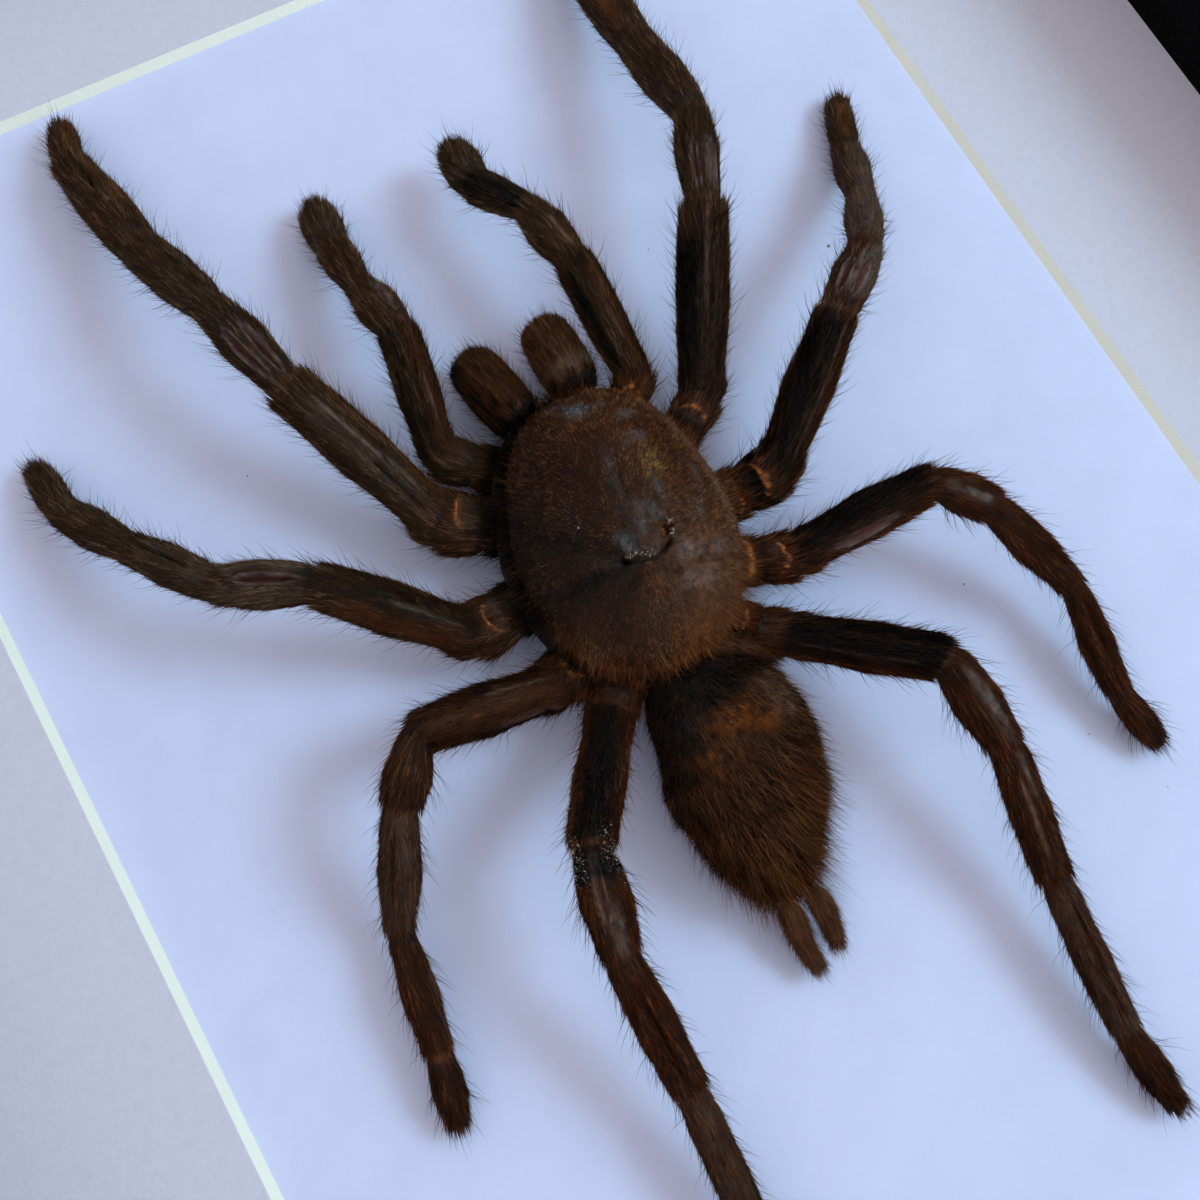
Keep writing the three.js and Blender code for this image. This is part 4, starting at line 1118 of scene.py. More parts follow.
def carapace_relief(x, y, share):
    """The carapace's top at each place, above the card, and what its marks paint there."""
    dome = CARAPACE["dome"] * (1 - share ** 2.3)
    reach = ((x / HEAD_SWELL["spread_across"]) ** 2
             + ((y - HEAD_SWELL["forward"]) / HEAD_SWELL["spread_along"]) ** 2)
    height = CARAPACE["margin"] + dome + HEAD_SWELL["height"] * np.exp(-reach) * (1 - share ** 6)
    inside = 1 - ease(0.9, 1, share)
    spots = np.stack([x, y, np.zeros_like(x)], -1)
    bare = np.zeros_like(x)
    groove_shade = np.zeros_like(x)
    for groove in GROOVES:
        for a, b in groove["lines"]:
            away, way = distance_to_line(x, y, a, b)
            away = away + 0.3 * ripple(spots, 1.5, 21)
            strength = bell(away, 0.95) * (1 - 0.6 * way)
            height = height - groove["depth"] * strength * inside
            bare = np.maximum(bare, groove["bare"] * bell(away, 0.55) * (1 - 0.45 * way))
            groove_shade = np.maximum(groove_shade, strength)
    crease = path_distance(x, y, FOVEA_PATH)
    cut = CREASE["depth"] * bell(crease, CREASE["width"])
    valley = CREASE["valley_depth"] * bell(crease, CREASE["valley_width"])
    height = height - (cut + valley) * inside
    height = height + 0.2 * bell(share - 0.965, 0.018)
    height = height + (0.25 * ripple(spots, 3.4, 23) + 0.1 * ripple(spots, 0.9, 24)) * inside

    hole_x, hole_y = x - TORN_HOLE["across"], y - TORN_HOLE["forward"]
    around = np.arctan2(hole_y, hole_x)
    ragged = TORN_HOLE["radius"] * (1 + 0.28 * np.sin(3 * around + 1) + 0.2 * np.sin(7 * around))
    torn = 1 - ease(ragged * 0.8, ragged * 1.05, np.hypot(hole_x, hole_y))
    height = height - TORN_HOLE["depth"] * torn

    eyes_x, eyes_y = x - EYE_MOUND["across"], y - EYE_MOUND["forward"]
    mound = np.exp(-((eyes_x / 1.7) ** 2 + (eyes_y / 1.1) ** 2) ** 1.5)
    height = height + EYE_MOUND["height"] * mound

    speckle = ripple(spots, 0.45, 28)
    for across, forward, half_across, half_forward, naked in WORN_PATCHES:
        away = np.hypot((x - across) / half_across, (y - forward) / half_forward)
        away = away + 0.5 * ripple(spots, 1.3, 27) + 0.4 * speckle
        bare = np.maximum(bare, naked * (1 - ease(0.5, 1.5, away)))
    bare = bare * (1 - 0.55 * ease(0, 0.5, ripple(spots * (3, 1, 1), 0.9, 35)))
    bare = np.maximum(bare, 0.9 * bell(crease, 0.3))
    bare = np.maximum(np.maximum(bare, mound), torn)
    gold = patch_at(x, y, *GOLD_PATCH) * (0.6 + 2.6 * ripple(spots, 0.5, 29))
    rear = ease(-10, -14, y) * ease(-1, 4, x) * np.clip(0.5 + 1.5 * ripple(spots, 0.9, 36), 0, 1)
    # Painted light: a pale rusty rim along the carapace's right margin, on its lit side.
    rim = bell(share - 0.955, 0.03) * ease(5, 9, x)
    teeth = bell(np.hypot((x - 0.3) / 1.7, (y + 4.1 + 0.22 * x) / 0.45), 1)
    # Painted shade on the torn hole's right inner wall.
    hole_shade = torn * ease(-0.2, 0.3, hole_x + 0.3 * hole_y)
    # Painted shade over the carapace's left side, away from the light, and more at its far left edge.
    painted_left_shade = 0.55 * ease(1.5, -7, x) * ease(-15, -5, y) + 0.3 * ease(-8, -11.5, x)
    # Painted shade along the edge under the black ruff.
    edge_shade = ruff_at(x, y, share) * ease(0.93, 0.97, share)
    rusty = patch_at(x, y, *RUSTY_PATCH) * np.clip(0.08 + 0.25 * speckle, 0, 0.2)
    layers = {
        "bare": bare,
        "pale": np.clip(teeth * (0.2 + 1.6 * speckle) + 0.14 * rim + 0.5 * mound * speckle + rusty, 0, 1),
        "rust": np.clip(torn + 0.45 * rear + 0.2 * rim + 0.6 * mound * speckle + 2 * rusty, 0, 1),
        # Painted shade: the fovea's crease, the grooves (less towards the lit right) and the marks above.
        "dark": np.clip(bell(crease, 0.25) + painted_left_shade + hole_shade + edge_shade
                        + 0.6 * groove_shade * (1 - 0.6 * ease(0, 6, x)), 0, 1),
        "gold": np.clip(gold + 1.2 * rusty, 0, 1),
    }
    return height, layers


def ruff_at(x, y, share):
    """Where the black ruff stands: the carapace's edge from the front round to its left. Its black is
    partly the hair's own colour and partly painted shade under that edge.
    """
    return ease(0.95, 0.99, share) * ease(-8, -4, y) * ease(3, 0, x)


def prosoma_skin():
    """The carapace over the sternum block, in the spider's own place."""
    sides = CARAPACE_SIDES
    angle = turns_of(sides)
    stack, heights, shares = [], [], []
    leftward = np.clip(-np.sin(angle - 0.3) + 0.8 * np.clip(-np.cos(angle), 0, 1) ** 2, 0, 1)
    for share, height, widened in PROSOMA_FLANK:
        stack.append(carapace_point(angle, share) * (1 + widened * leftward)[:, None])
        heights.append(np.full(sides, height))
        shares.append(share)
    inward = np.linspace(0, 1, CARAPACE_RINGS)
    for share in 1 - 0.985 * inward ** 1.12:
        place = carapace_point(angle, share)
        height, _ = carapace_relief(place[:, 0], place[:, 1], np.full(sides, share))
        stack.append(place)
        heights.append(height - 0.3 * FUR_DEPTH)
        shares.append(share)
    flat = np.array(stack)
    heights = np.array(heights)
    share = np.repeat(np.array(shares)[:, None], sides, 1)
    x, y = flat[..., 0], flat[..., 1]
    _, layers = carapace_relief(x, y, share)
    on_top = (np.arange(len(flat)) >= len(PROSOMA_FLANK))[:, None] * np.ones((1, sides))
    edge_bare = ease(0.975, 0.995, share) * on_top
    layers["bare"] = np.maximum(layers["bare"], 0.35 * edge_bare) * on_top
    for name in ("pale", "rust", "gold"):
        layers[name] = layers[name] * on_top
    # Painted shade: everything below the carapace's edge is fully dark under its overhang.
    layers["dark"] = np.where(on_top > 0, layers["dark"], 1)

    origin, right, ahead = carapace_axes()
    rings = origin + x[..., None] * right + y[..., None] * ahead
    rings[..., 2] = heights
    outward_x, outward_y = x - 0.9, y + 5
    from_fovea = np.hypot(outward_x, outward_y)[..., None]
    outward = unit(outward_x[..., None] * right + outward_y[..., None] * ahead)
    back = -ahead
    rearward = ease(2, -10, y)[..., None]
    flow = unit(outward * (0.55 + 0.2 * rearward) + back * (0.2 + 0.5 * rearward))
    lane = np.concatenate([outward[..., :2] * 14, from_fovea / 1.6], -1)
    rear = ease(0, -9, y)
    clearing = ripple(rings, 1.0, 34)
    layers.update(
        coat=(1 - 0.85 * ease(0.3, 0.8, layers["bare"] + 0.2 * clearing)) * on_top,
        growth=0.9 + 0.3 * rear * ease(0.75, 0.95, share),
        fringe=np.clip(ease(0.88, 0.97, share) * on_top * (0.1 + rear), 0, 1),
        ruff=ruff_at(x, y, share) * on_top,
        # Painted light: the pile's tone rises towards the carapace's lit right side; the rest of the band
        # is its own mottled tone.
        band=np.clip(0.42 + 0.7 * ripple(rings, 0.7, 31) + 0.6 * ripple(rings, 4.0, 32)
                     + 0.3 * ease(-4, 6, x) + 0.3 * ease(-5, -12, y), 0, 1),
        russet=np.clip(0.55 + 0.6 * ripple(rings, 4, 33) + 0.35 * ease(-6, -14, y), 0, 1),
        tone=np.full(share.shape, 0.5),
    )
    bottom = origin + (0, 0, BELLY_CLEARANCE)
    top_height, _ = carapace_relief(np.zeros(1), np.zeros(1), np.zeros(1))
    top = origin + (0, 0, top_height[0] - 0.3 * FUR_DEPTH)
    mesh = loft_mesh("cephalothorax", rings, bottom, top)
    paint_rings(mesh, layers, {"flow": flow, "lane": lane})
    return mesh


BEAD_RINGS = 7
BEAD_SIDES = 14


def bead(name, centre, radius, material):
    """A small closed ball, its centre in mm above the card."""
    turn = np.linspace(0, np.pi, BEAD_RINGS + 2)[1:-1]
    middles = np.array(centre) + np.outer(-np.cos(turn) * radius, (0, 0, 1))
    around = turns_of(BEAD_SIDES)
    rings = middles[:, None, :] + np.stack([
        np.sin(turn)[:, None] * np.cos(around) * radius,
        np.sin(turn)[:, None] * np.sin(around) * radius,
        np.zeros((BEAD_RINGS, BEAD_SIDES)),
    ], -1)
    low, high = np.array(centre) - (0, 0, radius), np.array(centre) + (0, 0, radius)
    piece = place_object(name, loft_mesh(name, rings, low, high))
    piece.data.materials.append(material)
    return piece


# Across and forward of the eye mound's middle, and the lens's radius.
EYES = ((-0.42, 0.25, 0.3), (0.42, 0.25, 0.3), (-1.0, 0.62, 0.26), (1.0, 0.62, 0.26),
        (-1.05, -0.2, 0.24), (1.05, -0.2, 0.24), (-0.72, -0.3, 0.17), (0.72, -0.3, 0.17))


def eye_beads(material):
    """Eight eyes set in the mound at the carapace's front."""
    beads = []
    for number, (across, forward, radius) in enumerate(EYES):
        top = on_carapace(EYE_MOUND["across"] + across, EYE_MOUND["forward"] + forward)
        centre = top - (0, 0, 0.35 * radius)
        beads.append(bead(f"eye_{number}", centre, radius, material))
    return beads


def crumbs(name, places, sizes, material, seed):
    """Irregular eight-sided crumbs at places in mm above the card, each of its own three sizes."""
    chance = np.random.default_rng(seed)
    corners = np.array([(1, 0, 0), (-1, 0, 0), (0, 1, 0), (0, -1, 0), (0, 0, 1), (0, 0, -1)], float)
    sides = ((0, 2, 4), (2, 1, 4), (1, 3, 4), (3, 0, 4), (2, 0, 5), (1, 2, 5), (3, 1, 5), (0, 3, 5))
    points, faces = [], []
    for number, (place, size) in enumerate(zip(places, sizes)):
        turn = chance.uniform(0, np.pi)
        turned = np.array(((np.cos(turn), -np.sin(turn), 0), (np.sin(turn), np.cos(turn), 0), (0, 0, 1)))
        shape = corners * size * chance.uniform(0.6, 1.2, (6, 1))
        points += (shape @ turned + place + (0, 0, CARD_TOP)).tolist()
        faces += [tuple(6 * number + corner for corner in side) for side in sides]
    mesh = bpy.data.meshes.new(name)
    mesh.from_pydata((np.array(points) * MM).tolist(), [], faces)
    mesh.materials.append(material)
    return place_object(name, mesh)


def on_carapace(x, y):
    """The place above the card of a point across and forward on the carapace's top."""
    origin, right, ahead = carapace_axes()
    place = origin + x * right + y * ahead
    share = math.hypot(2 * x / CARAPACE["width"], 2 * y / CARAPACE["length"])
    height, _ = carapace_relief(np.array([x]), np.array([y]), np.array([share]))
    return place + (0, 0, height[0])


def torn_bits(material):
    """Slivers of shell at the torn hole's right edge, pale teeth along the crease, and a crumb."""
    chance = np.random.default_rng(SEED)
    places, sizes = [], []
    for turn in chance.uniform(-1.2, 1.1, TORN_HOLE["slivers"]):
        reach = TORN_HOLE["radius"] * chance.uniform(0.85, 1.1)
        places.append(on_carapace(TORN_HOLE["across"] + reach * math.cos(turn),
                                  TORN_HOLE["forward"] + reach * math.sin(turn)) + (0, 0, 0.1))
        sizes.append((0.09, chance.uniform(0.15, 0.42), 0.2))
    for step in np.linspace(0, 1, CREASE["teeth"]):
        x = -1.3 + 3.0 * step + chance.uniform(-0.1, 0.1)
        places.append(on_carapace(x, -4.0 - 0.7 * math.sin(1.7 * step) + chance.uniform(-0.2, 0.2)))
        sizes.append((0.08, chance.uniform(0.1, 0.3), 0.22))
    places.append(on_carapace(*LOOSE_CRUMB["place"]) + (0, 0, LOOSE_CRUMB["height"]))
    sizes.append(LOOSE_CRUMB["size"])
    return crumbs("torn_bits", places, sizes, material, SEED)


def build_prosoma(materials):
    """The furred carapace with its eyes and its torn hole."""
    velvet = bpy.context.scene.specimen_fur.carapace_cover
    coats = (
        coat(42 * velvet, 0.38, 0.075, lift=30, tuft=0.5, frizz=0.36),
        coat(2.2 * velvet, 0.6, 0.07, lift=40, tuft=0.5, frizz=0.4, tone=0.3),
        coat(16 * velvet, 1.8, 0.07, 2, lift=4, bend=-0.25, tuft=0.4, frizz=0.25, spread=0.4,
             tone=0.05, where="fringe"),
        coat(40 * velvet, 1.9, 0.1, 2, lift=6, bend=-0.1, tuft=0.9, frizz=0.4, spread=0.5,
             where="ruff"),
    )
    piece = furred("cephalothorax_furred", prosoma_skin(), "carapace", coats, materials)
    extras = [*eye_beads(materials["eye"]), torn_bits(materials["membrane"]), build_saddle(materials)]
    stand_for(join([piece, *extras]), ("cephalothorax",))


def build_chelicera(side, seed, materials):
    """One fang-bearing lobe, with its combed stripes and the dark hair at its root."""
    x, y, heading, length = CHELICERAE[side]
    size, look = CHELICERA_SIZE, CHELICERA_LOOKS[side]
    along = direction(heading, 0)
    shares = np.linspace(0.01, 0.99, 40)
    girth = np.interp(shares, *zip(*CHELICERA_PROFILE))
    base = np.array((x, y, size["middle"]))
    middles = base + np.outer(shares * length, along)
    middles[:, 2] -= size["droop"] * shares ** 2
    sides = 64
    ways = np.repeat(along[None], len(shares), 0)
    wide = girth[:, None] * (size["half_width"] - 0.2)
    tall = girth[:, None] * (size["half_height"] - 0.25)
    full = rings_across(middles, ways, wide, tall, sides)
    turn = turns_of(sides)
    stripes = ripple(unrolled(turn, 3, shares[:, None] * 1.6), 0.32, seed)
    swell = 1 + 0.02 * stripes + 0.03 * ripple(full, 3, seed)
    rings = rings_across(middles, ways, wide * swell, tall * swell, sides)
    grid = np.ones((len(shares), sides))
    jagged = 0.09 * ripple(full, 0.6, seed + 2)
    root = ease(0.14, 0.07, shares[:, None] + jagged)
    outer = ease(0.3, -0.6, np.sin(turn))[None, :] * grid
    striped = ease(0, 0.25, stripes) * (look["stripes"] + look["flank_stripes"] * outer)
    below = ease(0.1, -0.8, np.cos(turn))[None, :] * grid
    glint = bell(shares[:, None] + jagged - 0.24, 0.06) * look["glint"]
    layers = {
        "bare": 0.0 * grid, "pale": 0.3 * glint * grid, "rust": 0.12 * grid,
        "dark": np.clip(root + striped, 0, 1), "coat": grid * (1 - 0.4 * below),
        "growth": 0.85 + 0.5 * root + 0.1 * ripple(full, 2, seed),
        "band": np.clip(look["band"] - 0.5 * stripes + 0.4 * glint, 0, 1),
        "russet": np.clip(0.2 + 0.3 * ripple(full, 4, seed + 1), 0, 1), "tone": 0.5 * grid,
    }
    name = f"chelicera_{side}"
    mesh = loft_mesh(name, rings, middles[0] - 0.1 * along, middles[-1] + 0.1 * along)
    flow = np.repeat(ways[:, None, :], sides, 1)
    lane = unrolled(turn, 3.6, shares[:, None] * length / LANE_STRETCH)
    paint_rings(mesh, layers, {"flow": flow, "lane": lane})
    coats = (
        coat(36, 0.8, 0.075, lift=18, tuft=0.15, frizz=0.12, tone=0.04),
        coat(2.6, 2.4, 0.06, 2, lift=44, bend=0.25, tuft=0.5, frizz=0.4, spread=0.45, tone=-0.1),
    )
    piece = furred(f"{name}_furred", mesh, "leg", coats, materials)
    stand_for(piece, (name,))


# Across, along and the two half widths of the abdomen's coloured patches, in the frame's own mm.
RUST_PATCH = (-1.6, -20.2, 3.6, 1.7)
LEFT_RUST_PATCH = (-6.6, -21.6, 2.4, 2.4)
GREY_PATCH = (3.2, -18.6, 1.7, 2.72)
TAIL_BITS = {"count": 14, "low": (-6.8, -37.4, 5.0), "high": (-4.2, -35.8, 6.4), "sizes": (0.06, 0.3)}


def build_abdomen(materials):
    """The shrunken abdomen under long backward hair."""
    fur = bpy.context.scene.specimen_fur
    table = np.array(ABDOMEN_SECTIONS, float)
    spots = np.linspace(0, 1, len(table))
    steps = np.linspace(0, 1, 96)
    y, x, half_width, middle_height, half_height = (
        np.interp(steps, spots, column) for column in table.T)
    middles = np.stack([x, y, middle_height], 1)
    ways = np.repeat(np.array([[0.0, -1.0, 0.0]]), len(steps), 0)
    sides = 72
    wide = np.maximum(half_width - 0.5, 0.5 * half_width)[:, None]
    tall = np.maximum(half_height - 0.5, 0.5 * half_height)[:, None]
    full = rings_across(middles, ways, wide, tall, sides)
    lumps = 0.1 * ripple(full, 6, 51) + 0.05 * ripple(full, 2.4, 52)
    rings = rings_across(middles, ways, wide * (1 + lumps), tall * (1 + lumps), sides)
    px, py = rings[..., 0], rings[..., 1]
    grid = np.ones(px.shape)
    spotted = ripple(rings, 2.4, 53)
    speckle = ripple(rings, 0.8, 56)
    front = ease(-19.5, -15.5, py - 0.3 * (px + 3) + 1.6 * spotted + 1.4 * speckle)
    patch = patch_at(px, py + 0.2 * px, *RUST_PATCH)
    left_patch = 0.4 * patch_at(px, py, *LEFT_RUST_PATCH)
    grey_patch = patch_at(px, py, *GREY_PATCH)
    side = ease(0.3, 1, np.abs(px + 3.5) / 9)
    mottled = np.clip(0.5 + 0.7 * spotted + 1.8 * speckle, 0, 1)
    layers = {
        "bare": 0.0 * grid, "pale": 0.5 * grey_patch * mottled,
        "rust": np.clip(1.4 * np.maximum(patch, left_patch) * mottled, 0, 1),
        "dark": np.clip(front + 0.45 * side + 0.5 * ease(0, 0.5, spotted - speckle)
                        - 0.5 * patch - 0.6 * grey_patch, 0, 1),
        "coat": grid * (1 - 0.5 * ease(0, -4, rings[..., 2] - 4)),
        "growth": 0.7 + 0.4 * ease(-20, -34, py) + 0.4 * ease(-34.5, -36.5, py) + 0.25 * spotted,
        "band": np.clip(0.42 + 0.7 * ripple(rings, 1.1, 54) + 0.25 * patch, 0, 1),
        "russet": np.clip(0.85 + 0.4 * ripple(rings, 5, 55), 0, 1), "tone": 0.3 * grid,
    }
    mesh = loft_mesh("abdomen", rings, middles[0] + (0, 0.3, 0), middles[-1] - (0, 0.5, 0))
    spread = unit(full - middles[:, None, :]) * 0.15 + ways[:, None, :]
    flow = unit(spread + (0.12, 0, 0))
    lane = rings * (1, 1 / LANE_STRETCH, 1)
    paint_rings(mesh, layers, {"flow": flow, "lane": lane})
    cover = fur.abdomen_cover
    coats = (
        coat(16 * cover, 1.3, 0.085, lift=28, tuft=0.6, frizz=0.5, tone=-0.02),
        coat(5.2 * cover, fur.abdomen_hair / MM, 0.058, 2, lift=26, bend=0.12, tuft=0.45,
             frizz=0.5, spread=0.5, tone=0.38),
    )
    piece = furred("abdomen_furred", mesh, "abdomen", coats, materials)
    chance = np.random.default_rng(SEED)
    count = TAIL_BITS["count"]
    loose = chance.uniform(TAIL_BITS["low"], TAIL_BITS["high"], (count, 3))
    sizes = chance.uniform(*TAIL_BITS["sizes"], (count, 3))
    bits = crumbs("tail_bits", loose, sizes, materials["membrane"], 5)
    stand_for(join([piece, bits]), ("abdomen",))


def build_saddle(materials):
    """The tufted ridge between the carapace's rear edge and the right hindmost leg: brown on its upper
    right crest, and dark elsewhere, partly its black hair and partly painted shade below the crest.
    """
    steps = np.linspace(0, 1, 26)
    route = np.array(SADDLE_ROUTE)
    spots = np.linspace(0, 1, len(route))
    middles = np.stack([np.interp(steps, spots, column) for column in route.T], 1)
    ways = unit(np.gradient(middles, axis=0))
    sides = 30
    arch = np.sin(np.pi * (0.08 + 0.84 * steps))
    girth = (SADDLE_GIRTH["ends"] + SADDLE_GIRTH["swell"] * arch)[:, None]
    full = rings_across(middles, ways, girth, girth, sides)
    swell = 1 + 0.12 * ripple(full, 1.6, 58)
    rings = rings_across(middles, ways, girth * swell, girth * swell, sides)
    grid = np.ones(rings.shape[:2])
    turn = turns_of(sides)
    # Painted shade: the saddle is dark all round except its brown upper right crest, which faces the
    # light.
    ridge = bell(np.sin(turn) - 0.1, 0.5)[None, :] * (np.cos(turn) > 0) * grid
    layers = {
        "bare": 0 * grid, "pale": 0.1 * ridge, "rust": 0.3 * ridge, "coat": grid,
        "dark": np.clip(0.95 - 0.8 * ridge, 0, 1), "growth": grid, "russet": 0.8 * grid,
        "band": np.clip(0.5 + 0.6 * ripple(rings, 1.2, 59), 0, 1), "tone": 0.4 * grid,
    }
    mesh = loft_mesh("rear_saddle", rings, middles[0] - 0.3 * ways[0], middles[-1] + 0.3 * ways[-1])
    flow = unit(np.repeat(ways[:, None, :], sides, 1) * 0.8 + (0.25, -0.5, 0))
    paint_rings(mesh, layers, {"flow": flow, "lane": rings * (1, 1 / LANE_STRETCH, 1)})
    coats = (coat(20, 1.7, 0.085, lift=24, tuft=0.5, frizz=0.3, spread=0.4, tone=0.05),)
    return furred("rear_saddle", mesh, "abdomen", coats, materials)


def build_spinneret(side, seed, materials):
    """One long spinneret: three tapering segments in short backward hair."""
    table = np.array(SPINNERETS[side], float)
    spots = np.linspace(0, 1, len(table))
    steps = np.linspace(0, 1, 34)
    x, y, z, radius = (np.interp(steps, spots, column) for column in table.T)
    middles = np.stack([x, y, z], 1)
    ways = unit(np.gradient(middles, axis=0))
    radius = (radius - 0.2) * np.sqrt(1 - np.clip((steps - 0.9) / 0.1, 0, 0.97) ** 2)
    from_waist = (steps * SPINNERET_SEGMENTS) % 1 - 0.5
    segments = 1 - 0.1 * bell(from_waist, 0.12)
    sides = 18
    girth = (radius * segments)[:, None]
    rings = rings_across(middles, ways, girth, girth, sides)
    grid = np.ones(rings.shape[:2])
    layers = {
        "bare": 0.0 * grid, "pale": 0.1 * grid, "rust": 0.2 * grid,
        "dark": 0.5 * bell(from_waist, 0.1)[:, None] * grid,
        "coat": grid, "growth": 0.9 * grid, "russet": 0.6 * grid, "tone": 0.4 * grid,
        "band": np.clip(0.6 + 0.6 * ripple(rings, 0.9, seed), 0, 1),
    }
    name = f"spinneret_{side}"
    mesh = loft_mesh(name, rings, middles[0] - 0.2 * ways[0], middles[-1] + 0.1 * ways[-1])
    flow = np.repeat(ways[:, None, :], sides, 1)
    lane = rings * (1, 1 / LANE_STRETCH, 1)
    paint_rings(mesh, layers, {"flow": flow, "lane": lane})
    coats = (
        coat(26, 1.3, 0.075, lift=24, tuft=0.4, frizz=0.3, tone=-0.05),
        coat(9.0, 1.9, 0.06, 2, lift=30, bend=0.15, tuft=0.5, frizz=0.35, tone=0.3),
    )
    piece = furred(f"{name}_furred", mesh, "abdomen", coats, materials)
    stand_for(piece, (name,))


DUST = {"low": (-45, -55), "high": (45, 50), "sizes": (0.05, 0.28), "flatness": 0.4, "height": 0.05}


def build_debris(materials):
    """Specks of dust on the card round the spider."""
    chance = np.random.default_rng(SEED)
    count = bpy.context.scene.specimen_fur.specks
    flat = chance.uniform(DUST["low"], DUST["high"], (count, 2))
    spots = np.c_[flat, np.full(count, DUST["height"])]
    sizes = chance.uniform(*DUST["sizes"], (count, 3)) * (1, 1, DUST["flatness"])
    piece = crumbs("dust_specks", spots, sizes, materials["dust"], 8)
    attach(piece, "root")


def fur_materials():
    """The spider's materials, made once."""
    found = bpy.data.materials
    if "leg_cuticle" not in found:
        dried_cuticle("leg_cuticle", "#140b06", ("#38261b", "#5f473a"))
        dried_cuticle("carapace_cuticle", "#1a0f07", ("#303134", "#666769"))
        dried_cuticle("abdomen_cuticle", "#0c0502", ("#4a3227", "#6e5346"))
        setae("leg_setae", ("#1a1007", "#4e351e", "#937659"), ("#170702", "#4f240e", "#935730"))
        setae("carapace_setae", ("#1e0d05", "#563118", "#a1764b"), ("#210b03", "#633013", "#a97040"))
        setae("abdomen_setae", ("#0e0502", "#3a1f0c", "#8c6640"), ("#130602", "#471f0a", "#9a6134"))
        eye_lens()
        torn_membrane()
        dust_and_fibre()
    return {
        "leg_skin": found["leg_cuticle"], "leg_hair": found["leg_setae"],
        "carapace_skin": found["carapace_cuticle"], "carapace_hair": found["carapace_setae"],
        "abdomen_skin": found["abdomen_cuticle"], "abdomen_hair": found["abdomen_setae"],
        "eye": found["eye_lens"], "membrane": found["torn_membrane"],
        "dust": found["dust_and_fibre"],
    }


# ---- Settings ----
class SPECIMEN_StageSettings(bpy.types.PropertyGroup):
    """The camera and the light."""
    camera_place: FloatVectorProperty(
        name="Camera place", description="Where the camera stands", subtype="TRANSLATION",
        default=(-0.03424, -0.02774, 0.14869), unit="LENGTH")
    camera_look: FloatVectorProperty(
        name="Looks at", description="The point on the card that the camera looks at",
        subtype="TRANSLATION", default=(-0.0061, 0.00026, 0.009), unit="LENGTH")
    camera_up: FloatVectorProperty(
        name="Camera up", description="The direction of the picture's upper edge", subtype="XYZ",
        default=(0.4652, 0.8452, 0.2631))
    lens: FloatProperty(
        name="Lens", description="Focal length on a 36 mm sensor", default=39.0, min=10, max=200)
    key_way: FloatVectorProperty(
        name="Key light from", description="The direction that the window light comes from",
        subtype="XYZ", default=(0.94, -0.34, 1.1))
    key_distance: FloatProperty(
        name="Key distance", description="How far the key light stands", default=1.0,
        unit="LENGTH")
    key_size: FloatProperty(
        name="Key size", description="Side of the key light", default=0.34, unit="LENGTH")
    key_power: FloatProperty(name="Key power", description="Watts of the key light", default=2.5)
    key_colour: FloatVectorProperty(
        name="Key colour", description="Cool daylight", subtype="COLOR",
        default=linear("#b6e8ff"))
    fill_colour: FloatVectorProperty(
        name="Fill colour", description="Light from all round", subtype="COLOR",
        default=linear("#fff8fb"))
    fill_strength: FloatProperty(
        name="Fill strength", description="Strength of the light from all round", default=0.88)


class SPECIMEN_FurSettings(bpy.types.PropertyGroup):
    """How the spider's hair grows."""
    pile_length: FloatProperty(
        name="Leg pile", description="Length of the combed hair on the legs", default=1.35 * MM,
        unit="LENGTH", precision=5)
    bristle_length: FloatProperty(
        name="Leg bristles", description="Length of the long bristles on the legs",
        default=3.2 * MM, unit="LENGTH", precision=5)
    abdomen_hair: FloatProperty(
        name="Abdomen hair", description="Length of the long hair on the abdomen",
        default=3.1 * MM, unit="LENGTH", precision=5)
    leg_cover: FloatProperty(
        name="Leg cover", description="How thick the legs' coat is", default=1.0, min=0.1, max=2)
    carapace_cover: FloatProperty(
        name="Carapace cover", description="How thick the carapace's coat is", default=1.0,
        min=0.1, max=2)
    abdomen_cover: FloatProperty(
        name="Abdomen cover", description="How thick the abdomen's coat is", default=1.0,
        min=0.1, max=2)
    specks: IntProperty(
        name="Specks", description="Specks of dust on the card", default=16, min=0, max=200)


# ---- Operators ----
class SPECIMEN_OT_stage(bpy.types.Operator):
    """Add the floor, the lights and the camera"""
    bl_idname = "specimen.stage"
    bl_label = "Stage"

    def execute(self, context):
        stage = context.scene.specimen_stage
        build_stage(context.scene, stage)
        return {"FINISHED"}


class SPECIMEN_OT_box_frame(bpy.types.Operator):
    """Lacquer the frame's rails and face its spacers"""
    bl_idname = "specimen.box_frame"
    bl_label = "Box Frame"

    def execute(self, context):
        level = satin_black_wood("satin_black_wood_level", "x")
        upright = satin_black_wood("satin_black_wood_upright", "y")
        foam = black_foam_board()
        for side in ("bottom", "top"):
            dress(f"frame_rail_{side}", level)
        for side in ("left", "right"):
            dress(f"frame_rail_{side}", upright)
        for side in ("bottom", "top", "left", "right"):
            dress(f"spacer_{side}", foam)
        return {"FINISHED"}


class SPECIMEN_OT_boards(bpy.types.Operator):
    """Give the mat, the card and the back their paper and fibre"""
    bl_idname = "specimen.boards"
    bl_label = "Mat, Card and Back"

    def execute(self, context):
        dress("mat", rag_mat_board())
        dress("backing_card", calendered_card())
        dress("back_panel", tempered_hardboard())
        return {"FINISHED"}


class SPECIMEN_OT_glass(bpy.types.Operator):
    """Make the pane clear picture glass"""
    bl_idname = "specimen.glass"
    bl_label = "Glass"

    def execute(self, context):
        dress("glass_pane", coated_picture_glass())
        return {"FINISHED"}


